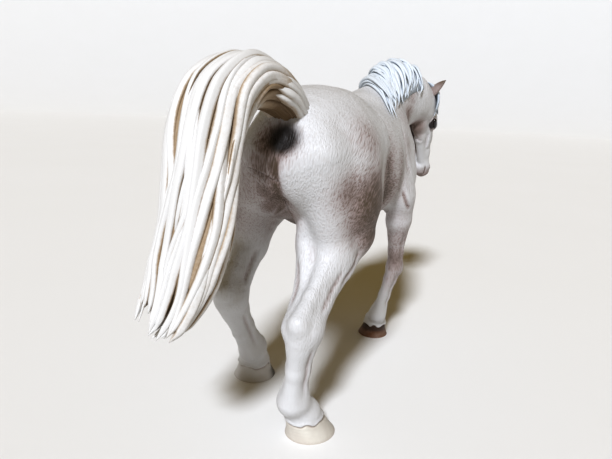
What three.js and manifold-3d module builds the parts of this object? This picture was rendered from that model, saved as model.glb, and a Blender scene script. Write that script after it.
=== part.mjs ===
// A walking stallion figurine, cast in nine pieces that plug together and are glued.
// Millimetres. The horse looks along +X, its left side is +Y and it stands on z = 0.
// One smooth field of swellings describes the whole skin. Every piece is a loft over that
// skin, parted from the torso by a plane, so neighbouring pieces meet in one surface.

import * as THREE from 'three';
import Module from 'manifold-3d';

// Driving sizes of the animal
const withersHeight = 90;
const bodyLength = 95;
const trunkDepth = 42;
const trunkWidth = 36;
const neckDepth = 30;
const neckWidth = 20;
const headLength = 34.5;
const headDepth = 15.8;
const headWidth = 10;
const earLength = 7.6;
const earWidth = 3.4;
const eyeRadius = 1.7;
const hindLegThickness = 10;
const foreLegThickness = 8.6;
const hoofHeight = 6.4;
const hindHoofWidth = 11;
const foreHoofWidth = 9;

// How softly the swellings flow into each other
const limbBlend = 5;
const muscleBlend = 3;
const jointBlend = 1.2;

// Driving sizes of the hair
const tailWidth = 17.5;
const tailThickness = 9.5;
const tailTipLength = 4.5;
const maneLockWidth = 4.2;
const maneLockThickness = 3;
const maneRidgeRadius = 3.9;
const forelockWidth = 2.6;
const forelockThickness = 1.8;

// Pegs, sockets and the gap between the cast pieces
const seamGap = 0.3;
const legPegLength = 7;
const legPegWidth = 4.4;
const legPegHeight = 6.4;
const neckPegLength = 9;
const neckPegWidth = 8;
const neckPegHeight = 12;
const dockPegLength = 7;
const dockPegWidth = 4.4;
const manePinLength = 4;
const manePinWidth = 2.2;
const pegRootDepth = 1.5;
const dockSeatDepth = 1.1;

// How far a loft runs past its seam before it is trimmed, and how wide a leg's root spreads
const limbOverrun = 8;
const torsoOverrun = 9;
const hindRootRadius = 24;
const foreRootRadius = 16;
const sideOverrun = 3;
const rayStep = 1.2;
const cutterSize = 260;

// Counts that set how finely the skin is faceted
const trunkRings = 27;
const trunkSides = 30;
const neckRings = 14;
const neckSides = 24;
const headRings = 19;
const headSides = 24;
const legRings = 26;
const legSides = 18;
const capRings = 5;
const halvings = 12;
const earSides = 8;
const tailRings = 28;
const tailLocks = 12;
const pointsPerTailLock = 4;
const maneLockCount = 12;
const forelockCount = 3;
const lockRings = 7;
const lockSides = 6;
const ridgeSides = 8;
const pegArcSteps = 4;
const pinSides = 8;

// Colours of the painted surface
const coatColour = 0xded8cf;
const shadedCoatColour = 0xcfc4b6;
const maneColour = 0xe3e8f0;
const tailColour = 0xf2ede6;
const paintRoughness = 0.55;

// Trunk stations: x, y, z place, then half depth and half width, rump to breast
const trunkShares = [
  [-0.475, 0, 0.800, 0.17, 0.17],
  [-0.420, 0, 0.797, 0.33, 0.34],
  [-0.320, 0, 0.787, 0.43, 0.435],
  [-0.200, 0, 0.780, 0.42, 0.425],
  [-0.075, 0, 0.757, 0.44, 0.405],
  [0.060, 0, 0.738, 0.46, 0.465],
  [0.190, 0, 0.752, 0.48, 0.435],
  [0.290, 0, 0.762, 0.45, 0.36],
  [0.380, 0, 0.750, 0.34, 0.27],
  [0.430, 0, 0.745, 0.22, 0.20],
];

// The middle line of the trunk, for its rings
const trunkSpineShares = [
  [-0.420, 0, 0.797],
  [-0.075, 0, 0.757],
  [0.190, 0, 0.752],
  [0.380, 0, 0.750],
];

// Muscles on the trunk, for one side: two ends, each written as a trunk station
const trunkMuscleShares = [
  [[0.250, 0.14, 0.930, 0.10, 0.10], [0.400, 0.24, 0.780, 0.17, 0.14]],
  [[0.290, 0.26, 0.820, 0.20, 0.14], [0.200, 0.31, 0.640, 0.13, 0.12]],
  [[0.425, 0.13, 0.740, 0.13, 0.15], [0.370, 0.15, 0.620, 0.12, 0.13]],
  [[-0.180, 0.31, 0.860, 0.13, 0.15], [-0.320, 0.29, 0.790, 0.24, 0.20]],
  [[-0.165, 0.33, 0.810, 0.10, 0.12], [-0.195, 0.34, 0.640, 0.17, 0.13]],
  [[-0.250, 0.16, 0.900, 0.16, 0.20], [-0.400, 0.13, 0.860, 0.15, 0.17]],
];

// Neck stations from the shoulders to the poll, bending to the right
const neckShares = [
  [0.240, 0, 0.820, 0.50, 0.50],
  [0.340, -0.03, 0.880, 0.45, 0.44],
  [0.425, -0.10, 0.938, 0.385, 0.37],
  [0.500, -0.19, 0.974, 0.33, 0.33],
  [0.560, -0.28, 0.982, 0.28, 0.29],
  [0.605, -0.34, 0.965, 0.24, 0.26],
];

// Places of the leg joints; the left foreleg is lifted
const legJointShares = {
  right_hind_leg: {
    hip: [-0.330, -0.25, 0.780],
    stifle: [-0.295, -0.31, 0.570],
    hock: [-0.560, -0.25, 0.350],
    fetlock: [-0.535, -0.18, 0.125],
    sole: [-0.475, -0.25, 0],
  },
  left_hind_leg: {
    hip: [-0.310, 0.25, 0.780],
    stifle: [-0.245, 0.50, 0.570],
    hock: [-0.455, 0.46, 0.362],
    fetlock: [-0.290, 0.47, 0.128],
    sole: [-0.236, 0.515, 0],
  },
  right_foreleg: {
    shoulder: [0.400, -0.28, 0.760],
    elbow: [0.195, -0.42, 0.605],
    knee: [0.268, -0.38, 0.308],
    fetlock: [0.225, -0.27, 0.116],
    sole: [0.295, -0.19, 0],
  },
  left_foreleg: {
    shoulder: [0.410, 0.26, 0.765],
    elbow: [0.200, 0.36, 0.605],
    knee: [0.410, 0.33, 0.455],
    fetlock: [0.345, 0.37, 0.255],
    sole: [0.280, 0.38, 0.180],
  },
};

// How far the flesh on each leg's inner side reaches inwards
const inwardShares = {
  right_hind_leg: 1.30,
  left_hind_leg: 0.12,
  right_foreleg: 1,
  left_foreleg: 1,
};

// Hind leg flesh: two joints, share of the way between them, offsets forwards and outwards,
// half depth and half width, all but the first share in leg thicknesses
const hindFleshShares = {
  thigh: [
    ['hip', 'stifle', 0, 0, 0.10, 1.10, 0.76],
    ['hip', 'stifle', 0.55, 0, 0.12, 1.12, 0.80],
    ['hip', 'stifle', 1, 0.02, 0.10, 0.79, 0.62],
  ],
  gaskin: [
    ['stifle', 'hock', 0, 0, 0.05, 0.77, 0.60],
    ['stifle', 'hock', 0.35, -0.02, 0, 0.63, 0.52],
    ['stifle', 'hock', 0.72, 0.02, 0, 0.42, 0.38],
    ['stifle', 'hock', 1, 0.08, 0, 0.48, 0.45],
  ],
  cannon: [
    ['hock', 'fetlock', 0, 0.08, 0, 0.48, 0.45],
    ['hock', 'fetlock', 0.22, 0, 0, 0.40, 0.36],
    ['hock', 'fetlock', 0.55, 0, 0, 0.32, 0.30],
    ['hock', 'fetlock', 0.85, 0, 0, 0.34, 0.32],
    ['hock', 'fetlock', 1, -0.02, 0, 0.44, 0.40],
  ],
  pastern: [
    ['fetlock', 'coronet', 0, 0, 0, 0.42, 0.40],
    ['fetlock', 'coronet', 0.6, 0, 0, 0.34, 0.35],
    ['fetlock', 'coronet', 1, 0, 0, 0.42, 0.44],
  ],
  heelString: [
    ['stifle', 'hock', 0.45, -0.34, 0, 0.28, 0.24],
    ['stifle', 'hock', 0.78, -0.40, 0, 0.16, 0.17],
    ['stifle', 'hock', 1.02, -0.52, 0, 0.20, 0.20],
  ],
  heelBone: [
    ['stifle', 'hock', 1.02, -0.50, 0, 0.21, 0.20],
    ['hock', 'fetlock', 0.16, -0.14, 0, 0.26, 0.26],
  ],
  innerThigh: [
    ['hip', 'stifle', 0.75, -0.44, -0.58, 0.95, 0.36],
    ['stifle', 'hock', 0.25, -0.22, -0.55, 0.64, 0.36],
    ['stifle', 'hock', 0.62, 0, -0.32, 0.34, 0.28],
    ['stifle', 'hock', 1, 0, -0.14, 0.34, 0.36],
  ],
  tendon: [
    ['hock', 'fetlock', 0.12, -0.26, 0, 0.17, 0.19],
    ['hock', 'fetlock', 0.55, -0.30, 0, 0.12, 0.15],
    ['hock', 'fetlock', 0.98, -0.30, 0, 0.18, 0.22],
  ],
};

// Foreleg flesh, written as the hind leg's is
const foreFleshShares = {
  upperArm: [
    ['shoulder', 'elbow', 0, 0, 0, 0.75, 0.46],
    ['shoulder', 'elbow', 0.5, 0, 0.04, 0.95, 0.56],
    ['shoulder', 'elbow', 1, 0, 0, 0.72, 0.48],
  ],
  forearm: [
    ['elbow', 'knee', 0, 0.20, 0, 0.82, 0.56],
    ['elbow', 'knee', 0.30, 0.12, 0, 0.66, 0.50],
    ['elbow', 'knee', 0.75, 0.02, 0, 0.34, 0.30],
    ['elbow', 'knee', 1, 0.04, 0, 0.37, 0.33],
  ],
  cannon: [
    ['knee', 'fetlock', 0, 0.04, 0, 0.37, 0.33],
    ['knee', 'fetlock', 0.25, 0, 0, 0.28, 0.26],
    ['knee', 'fetlock', 0.6, 0, 0, 0.24, 0.23],
    ['knee', 'fetlock', 0.85, 0, 0, 0.28, 0.26],
    ['knee', 'fetlock', 1, -0.02, 0, 0.36, 0.33],
  ],
  pastern: [
    ['fetlock', 'coronet', 0, 0, 0, 0.34, 0.33],
    ['fetlock', 'coronet', 0.6, 0, 0, 0.29, 0.30],
    ['fetlock', 'coronet', 1, 0, 0, 0.42, 0.44],
  ],
  tendon: [
    ['knee', 'fetlock', 0.05, -0.24, 0, 0.15, 0.17],
    ['knee', 'fetlock', 0.55, -0.25, 0, 0.11, 0.13],
    ['knee', 'fetlock', 0.98, -0.24, 0, 0.16, 0.18],
  ],
};

// Hamstring: from the seat bone, a trunk station, down to the back of the gaskin
const hamstringSeatShares = [-0.455, 0.19, 0.800, 0.17, 0.19];
const hamstringEndShares = ['stifle', 'hock', 0.30, -0.34, 0, 0.42, 0.42];

// Hoof: half depth and half width at the coronet and past the sole, in half hoof widths
const coronetShares = [0.84, 0.80];
const rimShares = [1.10, 1.04];
const rimPlaceShare = 1.5;
const coronetLeanShare = 0.45;
const lastRingShare = 0.3;

// The share of the upper leg where its rings have turned to lie across the leg
const legBendShare = 0.5;

// Head attitude in degrees: nose below level, turned to the right, nose swung to the left
const headPitch = 71;
const headTurn = 26;
const headSwing = 6;
const pollShares = [0.625, -0.35, 1.005];

// Skull stations: along the head, towards the face, half depth, half width
const skullShares = [
  [0.05, -0.13, 0.30, 0.42],
  [0.22, -0.08, 0.36, 0.46],
  [0.35, -0.06, 0.34, 0.44],
  [0.52, -0.06, 0.26, 0.33],
  [0.70, -0.10, 0.20, 0.27],
  [0.86, -0.15, 0.18, 0.28],
  [0.94, -0.18, 0.14, 0.25],
];

// Jaw, brow, cheek crest, nostril and chin of one side: two ends, each with its place along
// the head, towards the face and sideways, then half depth and half width
const headFeatureShares = [
  [[0.12, -0.35, 0.24, 0.20, 0.17], [0.30, -0.43, 0.28, 0.26, 0.18]],
  [[0.30, -0.43, 0.28, 0.26, 0.18], [0.46, -0.37, 0.22, 0.16, 0.16]],
  [[0.46, -0.37, 0.22, 0.16, 0.16], [0.84, -0.23, 0.10, 0.10, 0.13]],
  [[0.28, 0.08, 0.38, 0.11, 0.14], [0.36, 0.05, 0.40, 0.11, 0.14]],
  [[0.38, -0.06, 0.38, 0.05, 0.08], [0.60, -0.13, 0.26, 0.05, 0.06]],
  [[0.89, -0.09, 0.18, 0.11, 0.12], [0.94, -0.12, 0.17, 0.10, 0.11]],
  [[0.86, -0.30, 0, 0.09, 0.18], [0.91, -0.29, 0, 0.08, 0.16]],
];
const eyeShares = [0.325, 0.02, 0.43];
const eyeLengthShare = 0.25;

// The middle line of the head, for its rings
const headSpineShares = [[0.11, -0.17], [0.35, -0.12], [0.70, -0.13], [0.87, -0.18]];

// Ear: its root on the head, the way it points, and rings of height, width and depth
const earRootShares = [0.01, 0.02, 0.26];
const earPointingShares = [-0.70, 0.30, 0.66];
const earOpeningShares = [0, 1, 0.9];
const earRingShares = [
  [-0.15, 0.8, 0.7],
  [0.1, 1, 0.8],
  [0.4, 1, 0.6],
  [0.7, 0.72, 0.42],
  [0.92, 0.3, 0.22],
];
const earCurlShare = 0.15;
const earHollowShare = 1.3;
const earTipShare = 0.08;

// Planes where the pieces part from the torso: a point and the direction out of the torso
const seamShares = {
  right_hind_leg: { at: [-0.325, -0.31, 0.612], outward: [-0.8, -0.5, -1] },
  left_hind_leg: { at: [-0.275, 0.38, 0.612], outward: [-0.8, 0.5, -1] },
  right_foreleg: { at: [0.210, -0.40, 0.570], outward: [0.1, -0.55, -1] },
  left_foreleg: { at: [0.220, 0.33, 0.561], outward: [0.2, 0.45, -1] },
  head_and_neck: { at: [0.390, 0, 0.850], outward: [1, 0, 0.8] },
  tail: { at: [-0.439, 0, 0.902], outward: [-1, 0.05, 0.62] },
};
const throatShares = { at: [0.600, -0.325, 0.965], outward: [0.85, -0.20, -0.45] };

// Tail path: x, y, z place, then half width and half thickness
const tailShares = [
  [-0.440, 0, 0.895, 0.18, 0.30],
  [-0.490, 0.01, 0.935, 0.25, 0.40],
  [-0.550, 0.07, 0.978, 0.34, 0.56],
  [-0.622, 0.15, 0.990, 0.42, 0.66],
  [-0.687, 0.23, 0.945, 0.49, 0.72],
  [-0.728, 0.26, 0.862, 0.51, 0.66],
  [-0.759, 0.24, 0.752, 0.50, 0.58],
  [-0.785, 0.22, 0.645, 0.50, 0.52],
  [-0.812, 0.25, 0.550, 0.48, 0.45],
  [-0.840, 0.30, 0.475, 0.36, 0.32],
];
const tailGrooveShare = 0.20;
const tailWaveShare = 0.30;
const tailWaves = 1.5;
const tailTipSharpness = 6;
const tailTipVaryShare = 0.3;

// Mane: start and end along the neck, and the way of one lock over the skin, as degrees from
// the crest to the right, lift in lock thicknesses and drift back in body lengths
const maneStartShare = 0.30;
const maneEndShare = 0.78;
const maneVaryShare = 0.1;
const maneShorterShare = 0.16;
const maneLockShares = [
  [-32, 0.25, 0],
  [-6, 1.60, 0.02],
  [20, 1.60, 0.08],
  [50, 1.35, 0.15],
  [82, 0.75, 0.21],
];
const manePinShares = [0.52, 0.70];

// Forelock: the way of one lock along the head, towards the face and sideways
const forelockShares = [[-0.08, 0.12, 0.3], [0.03, 0.27, 0.5], [0.13, 0.34, 0.8], [0.25, 0.33, 1]];

// A lock swells from this share of a half turn to the end of it
const lockRootShare = 0.14;
const lockTipShare = 0.97;

const library = await Module();
library.setup();

const up = new THREE.Vector3(0, 0, 1);
const lateral = new THREE.Vector3(0, 1, 0);
const forwards = new THREE.Vector3(1, 0, 0);

// Vector helpers

function place(shares) {
  return new THREE.Vector3(shares[0] * bodyLength, shares[1] * trunkWidth, shares[2] * withersHeight);
}

function direction(values) {
  return new THREE.Vector3(...values).normalize();
}

function mix(a, b, share) {
  return a.clone().lerp(b, share);
}

function moved(origin, steps) {
  const point = origin.clone();
  steps.forEach(([vector, distance]) => point.addScaledVector(vector, distance));
  return point;
}

function across(vector, axis) {
  return vector.clone().addScaledVector(axis, -vector.dot(axis)).normalize();
}

function smoothCurve(points) {
  return new THREE.CatmullRomCurve3(points, false, 'centripetal');
}

// Head axes: along the head, towards the face and towards its left side

function headFrame() {
  const basis = new THREE.Matrix4().makeRotationZ(-THREE.MathUtils.degToRad(headTurn));
  basis.multiply(new THREE.Matrix4().makeRotationY(THREE.MathUtils.degToRad(headPitch)));
  basis.multiply(new THREE.Matrix4().makeRotationZ(THREE.MathUtils.degToRad(headSwing)));
  const frame = { along: new THREE.Vector3(), left: new THREE.Vector3(), face: new THREE.Vector3() };
  basis.extractBasis(frame.along, frame.left, frame.face);
  return frame;
}

const head = headFrame();

function headPoint(alongShare, faceShare, sideShare) {
  return moved(place(pollShares), [
    [head.along, alongShare * headLength],
    [head.face, faceShare * headDepth],
    [head.left, sideShare * headWidth],
  ]);
}

function headDirection([alongShare, faceShare, sideShare], side) {
  return moved(new THREE.Vector3(), [
    [head.along, alongShare],
    [head.face, faceShare],
    [head.left, sideShare * side],
  ]).normalize();
}

// A swelling runs between two stations, each with its own half depth and half width

function swelling(from, to, sideways) {
  const axis = to.at.clone().sub(from.at);
  const length = axis.length();
  axis.normalize();
  const wide = across(sideways, axis);
  const deep = new THREE.Vector3().crossVectors(wide, axis);
  return { from, to, axis, length, wide, deep };
}

// Nearly the distance from a point to a swelling, negative inside

function swellingDistance({ from, to, axis, length, wide, deep }, point) {
  const x = point.x - from.at.x;
  const y = point.y - from.at.y;
  const z = point.z - from.at.z;
  const run = x * axis.x + y * axis.y + z * axis.z;
  const share = Math.min(Math.max(run / length, 0), 1);
  const depth = from.depth + (to.depth - from.depth) * share;
  const width = from.width + (to.width - from.width) * share;
  const round = Math.sqrt(depth * width);
  const past = (run - share * length) / round;
  const high = (x * deep.x + y * deep.y + z * deep.z) / depth;
  const side = (x * wide.x + y * wide.y + z * wide.z) / width;
  const reach = Math.hypot(past, high, side);
  const slope = Math.hypot(past / round, high / depth, side / width);
  return slope > Number.EPSILON ? (reach * (reach - 1)) / slope : -Math.min(depth, width);
}

// The smaller of two distances, rounded off where they are alike

function softMin(a, b, blend) {
  const overlap = Math.max(blend - Math.abs(a - b), 0) / blend;
  return Math.min(a, b) - (overlap * overlap * blend) / 4;
}

// A form is a run of swellings, with one blend inside it and one towards its neighbours

function form(stations, blend, innerBlend = jointBlend, sideways = lateral) {
  const parts = stations.slice(1).map((station, i) => swelling(stations[i], station, sideways));
  const box = new THREE.Box3().setFromPoints(stations.map((station) => station.at));
  const sphere = box.getBoundingSphere(new THREE.Sphere());
  const largest = Math.max(...stations.map((station) => Math.max(station.depth, station.width)));
  return { parts, blend, innerBlend, centre: sphere.center, reach: sphere.radius + largest };
}

function formDistance(shape, point) {
  const distances = shape.parts.map((part) => swellingDistance(part, point));
  return distances.reduce((value, next) => softMin(value, next, shape.innerBlend));
}

function fieldOf(forms) {
  return (point) => forms.reduce((value, shape) => {
    const nearest = point.distanceTo(shape.centre) - shape.reach;
    if (nearest > value + shape.blend) return value;
    const next = formDistance(shape, point);
    return value === Infinity ? next : softMin(value, next, shape.blend);
  }, Infinity);
}

// Stations in millimetres from their rows of shares

function trunkStation([x, y, z, depth, width]) {
  return { at: place([x, y, z]), depth: depth * trunkDepth, width: width * trunkWidth };
}

function neckStation([x, y, z, depth, width]) {
  return { at: place([x, y, z]), depth: depth * neckDepth, width: width * neckWidth };
}

function skullStation([along, face, depth, width]) {
  return { at: headPoint(along, face, 0), depth: depth * headDepth, width: width * headWidth };
}

function featureStation([along, face, sideways, depth, width], side) {
  const at = headPoint(along, face, sideways * side);
  return { at, depth: depth * headDepth, width: width * headWidth };
}

function onSide([x, y, ...rest], side) {
  return [x, y * side, ...rest];
}

// Leg joints in millimetres, with the coronet over the sole and the way the hoof stands

function isHind(name) {
  return name.includes('hind');
}

function sideOf(name) {
  return name.startsWith('left') ? 1 : -1;
}

function legJoints(name) {
  const shares = legJointShares[name];
  const joints = {};
  Object.keys(shares).forEach((joint) => {
    joints[joint] = place(shares[joint]);
  });
  const rise = joints.fetlock.clone().sub(joints.sole);
  joints.hoofUp = shares.sole[2] > 0 ? rise.clone().normalize() : up.clone();
  const lean = rise.clone().addScaledVector(joints.hoofUp, -rise.dot(joints.hoofUp));
  joints.coronet = moved(joints.sole, [[joints.hoofUp, hoofHeight], [lean, coronetLeanShare]]);
  return joints;
}

function legThickness(name) {
  return isHind(name) ? hindLegThickness : foreLegThickness;
}

function fleshStation(name, joints, [start, end, share, onwards, outwards, depth, width]) {
  const thickness = legThickness(name);
  const axis = joints[end].clone().sub(joints[start]).normalize();
  const ahead = new THREE.Vector3().crossVectors(lateral, axis).normalize();
  if (ahead.x < 0) ahead.negate();
  const sideways = outwards < 0 ? outwards * inwardShares[name] : outwards;
  const at = moved(mix(joints[start], joints[end], share), [
    [ahead, onwards * thickness],
    [lateral, sideways * thickness * sideOf(name)],
  ]);
  return { at, depth: depth * thickness, width: width * thickness };
}

function hoofForm(name, joints) {
  const half = (isHind(name) ? hindHoofWidth : foreHoofWidth) / 2;
  const past = mix(joints.coronet, joints.sole, rimPlaceShare);
  return form([
    { at: joints.coronet, depth: half * coronetShares[0], width: half * coronetShares[1] },
    { at: past, depth: half * rimShares[0], width: half * rimShares[1] },
  ], jointBlend);
}

function hamstringForm(name, joints) {
  const seat = trunkStation(onSide(hamstringSeatShares, sideOf(name)));
  return form([seat, fleshStation(name, joints, hamstringEndShares)], muscleBlend);
}

function legForms(name) {
  const joints = legJoints(name);
  const flesh = isHind(name) ? hindFleshShares : foreFleshShares;
  const forms = Object.keys(flesh).map((part, i) => {
    const stations = flesh[part].map((row) => fleshStation(name, joints, row));
    return form(stations, i === 0 ? limbBlend : muscleBlend / 2);
  });
  forms.push(hoofForm(name, joints));
  if (isHind(name)) forms.push(hamstringForm(name, joints));
  return forms;
}

function trunkForms() {
  const muscles = [-1, 1].flatMap((side) => trunkMuscleShares.map((ends) => (
    form(ends.map((row) => trunkStation(onSide(row, side))), limbBlend)
  )));
  return [form(trunkShares.map(trunkStation), limbBlend, muscleBlend), ...muscles];
}

function eyeForm(side) {
  const [along, face, sideways] = eyeShares;
  const at = headPoint(along, face, sideways * side);
  const below = moved(at, [[head.along, eyeRadius * eyeLengthShare]]);
  const stations = [at, below].map((point) => ({ at: point, depth: eyeRadius, width: eyeRadius }));
  return form(stations, jointBlend / 2, jointBlend, head.left);
}

function headForms() {
  const skull = form(skullShares.map(skullStation), muscleBlend, jointBlend, head.left);
  const features = [-1, 1].flatMap((side) => [
    ...headFeatureShares.map((ends) => (
      form(ends.map((row) => featureStation(row, side)), jointBlend, jointBlend, head.left)
    )),
    eyeForm(side),
  ]);
  return [skull, ...features];
}

const legNames = Object.keys(legJointShares);
const skin = fieldOf([
  ...trunkForms(),
  form(neckShares.map(neckStation), limbBlend, muscleBlend),
  ...legNames.flatMap(legForms),
  ...headForms(),
]);

// Planes

function planeOf({ at, outward }) {
  return { at: place(at), normal: direction(outward) };
}

function flipped(plane) {
  return { at: plane.at, normal: plane.normal.clone().negate() };
}

function sidePlane(side) {
  return { at: new THREE.Vector3(), normal: lateral.clone().multiplyScalar(side) };
}

function heightOver(plane, point) {
  return plane.normal.dot(point) - plane.normal.dot(plane.at);
}

// Keeps a field on the inner side of planes, with an overrun that a cut takes away later

function within(field, planes, overrun) {
  return (point) => {
    const heights = planes.map((plane) => heightOver(plane, point) - overrun);
    return Math.max(field(point), ...heights);
  };
}

// How far a ray runs from its origin to a level of a field: stepped, then narrowed by halving

function skinDistance(field, origin, ray, level, reach) {
  const valueAt = (distance) => field(moved(origin, [[ray, distance]]));
  let near = 0;
  let far = rayStep;
  while (far < reach && valueAt(far) < level) {
    near = far;
    far += rayStep;
  }
  for (let i = 0; i < halvings; i += 1) {
    const middle = (near + far) / 2;
    if (valueAt(middle) > level) far = middle;
    else near = middle;
  }
  return Math.min(near, reach);
}

// A closed skin: rings of rays across a spine and fans of rays over both of its ends

function skinLoft({ points, field, rings, sides, level = 0, sideways = lateral, reach = bodyLength }) {
  const spine = smoothCurve(points);
  const cast = (u, tilt) => {
    const origin = spine.getPointAt(u);
    const tangent = spine.getTangentAt(u);
    const wide = across(sideways, tangent);
    const high = new THREE.Vector3().crossVectors(tangent, wide);
    return Array.from({ length: sides }, (_, j) => {
      const angle = (j / sides) * Math.PI * 2;
      const ray = moved(new THREE.Vector3(), [
        [wide, Math.cos(angle) * Math.cos(tilt)],
        [high, Math.sin(angle) * Math.cos(tilt)],
        [tangent, Math.sin(tilt)],
      ]);
      return moved(origin, [[ray, skinDistance(field, origin, ray, level, reach)]]);
    });
  };
  const tilts = Array.from({ length: capRings }, (_, i) => ((i + 1) / (capRings + 1)) * (Math.PI / 2));
  const rows = [
    ...tilts.toReversed().map((tilt) => cast(0, -tilt)),
    ...Array.from({ length: rings + 1 }, (_, i) => cast(i / rings, 0)),
    ...tilts.map((tilt) => cast(1, tilt)),
  ];
  const poles = [0, 1].map((u) => {
    const origin = spine.getPointAt(u);
    const ray = spine.getTangentAt(u).multiplyScalar(u === 0 ? -1 : 1);
    return moved(origin, [[ray, skinDistance(field, origin, ray, level, reach)]]);
  });
  return closedRows(rows, poles);
}

// Joins rows of points round an axis, and a pole at each end, into one solid

function closedRows(rows, poles) {
  const sides = rows[0].length;
  const [firstPole, lastPole] = [rows.length * sides, rows.length * sides + 1];
  const index = (i, j) => i * sides + (j % sides);
  const triangles = [];
  for (let j = 0; j < sides; j += 1) {
    triangles.push(firstPole, index(0, j + 1), index(0, j));
    for (let i = 1; i < rows.length; i += 1) {
      triangles.push(index(i - 1, j), index(i - 1, j + 1), index(i, j));
      triangles.push(index(i - 1, j + 1), index(i, j + 1), index(i, j));
    }
    triangles.push(lastPole, index(rows.length - 1, j), index(rows.length - 1, j + 1));
  }
  return solidOf([...rows.flat(), ...poles].flatMap((point) => point.toArray()), triangles);
}

function solidOf(positions, triangles) {
  return new library.Manifold(new library.Mesh({
    numProp: 3,
    vertProperties: new Float32Array(positions),
    triVerts: new Uint32Array(triangles),
  }));
}

// An ellipse of points about a centre

function ellipse(centre, wide, high, halfWidth, halfHeight, sides) {
  return Array.from({ length: sides }, (_, j) => {
    const angle = (j / sides) * Math.PI * 2;
    return moved(centre, [
      [wide, Math.cos(angle) * halfWidth],
      [high, Math.sin(angle) * halfHeight],
    ]);
  });
}

// Turns a closed three.js geometry, placed by a matrix, into a solid

function solidFrom(geometry, matrix) {
  const loose = geometry.index ? geometry.toNonIndexed() : geometry;
  const placed = loose.applyMatrix4(matrix).getAttribute('position');
  const known = new Map();
  const positions = [];
  const triangles = [];
  for (let i = 0; i < placed.count; i += 1) {
    const point = new THREE.Vector3().fromBufferAttribute(placed, i).toArray();
    const key = point.map((value) => value.toFixed(5)).join(' ');
    if (!known.has(key)) {
      known.set(key, known.size);
      positions.push(...point);
    }
    triangles.push(known.get(key));
  }
  return solidOf(positions, triangles);
}

function standingOn(plane, sideways) {
  const wide = across(sideways, plane.normal);
  const high = new THREE.Vector3().crossVectors(plane.normal, wide);
  return new THREE.Matrix4().makeBasis(wide, high, plane.normal).setPosition(plane.at);
}

// Everything on the outer side of a plane, as a large block

function beyond(plane, offset = 0) {
  const block = new THREE.BoxGeometry(cutterSize, cutterSize, cutterSize);
  block.translate(0, 0, cutterSize / 2 + offset);
  const sideways = new THREE.Vector3(plane.normal.z, plane.normal.x, plane.normal.y);
  return solidFrom(block, standingOn(plane, sideways));
}

// A keyed peg, flat on one side and round on the other, so that it goes in one way only

function keyedPeg(plane, { length, width, height, sideways }, growth) {
  const halfWidth = width / 2 + growth;
  const shoulder = height / 2 - width / 2;
  const foot = -height / 2 - growth;
  const outline = new THREE.Shape();
  outline.moveTo(-halfWidth, foot);
  outline.lineTo(halfWidth, foot);
  outline.lineTo(halfWidth, shoulder);
  outline.absarc(0, shoulder, halfWidth, 0, Math.PI, false);
  const depth = length + growth + pegRootDepth;
  const options = { depth, bevelEnabled: false, curveSegments: pegArcSteps };
  const peg = new THREE.ExtrudeGeometry(outline, options);
  peg.translate(0, 0, -length - growth);
  return solidFrom(peg, standingOn(plane, sideways));
}

function pegSizes(name) {
  if (name === 'head_and_neck') {
    return { length: neckPegLength, width: neckPegWidth, height: neckPegHeight, sideways: lateral };
  }
  if (name === 'tail') {
    return { length: dockPegLength, width: dockPegWidth, height: dockPegWidth, sideways: lateral };
  }
  return { length: legPegLength, width: legPegWidth, height: legPegHeight, sideways: forwards };
}

// The dock's peg starts a little under the skin of the rump, wherever that skin lies

function seatOf(name) {
  const { at, normal } = planeOf(seamShares[name]);
  if (name !== 'tail') return { at, normal };
  const rise = skinDistance(skin, at, normal, 0, bodyLength) - dockSeatDepth;
  return { at: moved(at, [[normal, rise]]), normal };
}

function pegOf(name, growth = 0) {
  return keyedPeg(seatOf(name), pegSizes(name), growth);
}

function meshOf(name, solid, colour) {
  const result = solid.getMesh();
  const geometry = new THREE.BufferGeometry();
  geometry.setAttribute('position', new THREE.BufferAttribute(result.vertProperties, 3));
  geometry.setIndex(new THREE.BufferAttribute(result.triVerts, 1));
  geometry.computeVertexNormals();
  const material = new THREE.MeshStandardMaterial({
    color: colour,
    roughness: paintRoughness,
    metalness: 0,
  });
  const mesh = new THREE.Mesh(geometry, material);
  mesh.name = name;
  return mesh;
}

// Torso: barrel, rump and shoulders, with a flat seat and a keyed socket for each limb

function torsoSkin(level) {
  const planes = [...legNames, 'head_and_neck'].map((name) => planeOf(seamShares[name]));
  return skinLoft({
    points: trunkSpineShares.map(place),
    field: within(skin, planes, torsoOverrun),
    rings: trunkRings,
    sides: trunkSides,
    level,
  });
}

function torso() {
  let solid = torsoSkin(0);
  [...legNames, 'head_and_neck'].forEach((name) => {
    solid = solid.subtract(beyond(planeOf(seamShares[name]), -seamGap / 2));
  });
  Object.keys(seamShares).forEach((name) => {
    solid = solid.subtract(pegOf(name, seamGap));
  });
  return meshOf('torso', solid, coatColour);
}

// Legs, each with the root of its haunch or shoulder, a flat sole and a peg

function legSpine(name, joints, plane) {
  const [top, middle] = isHind(name) ? ['stifle', 'hock'] : ['elbow', 'knee'];
  return [
    plane.at,
    mix(joints[top], joints[middle], legBendShare),
    joints[middle],
    joints.fetlock,
    mix(joints.coronet, joints.sole, lastRingShare),
  ];
}

function leg(name) {
  const joints = legJoints(name);
  const plane = planeOf(seamShares[name]);
  const side = sideOf(name);
  const sole = { at: joints.sole, normal: joints.hoofUp.clone().negate() };
  const rooted = within(skin, [flipped(plane)], limbOverrun);
  const solid = skinLoft({
    points: legSpine(name, joints, plane),
    field: within(rooted, [sidePlane(-side), sole], sideOverrun),
    rings: legRings,
    sides: legSides,
    reach: isHind(name) ? hindRootRadius : foreRootRadius,
  })
    .intersect(beyond(plane, seamGap / 2))
    .intersect(beyond(sidePlane(side), seamGap / 2))
    .subtract(beyond(sole))
    .add(pegOf(name));
  return meshOf(name, solid, shadedCoatColour);
}

// Head and neck: two lofts that meet at the throat, with ears, and holes for the mane's pins

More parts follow.
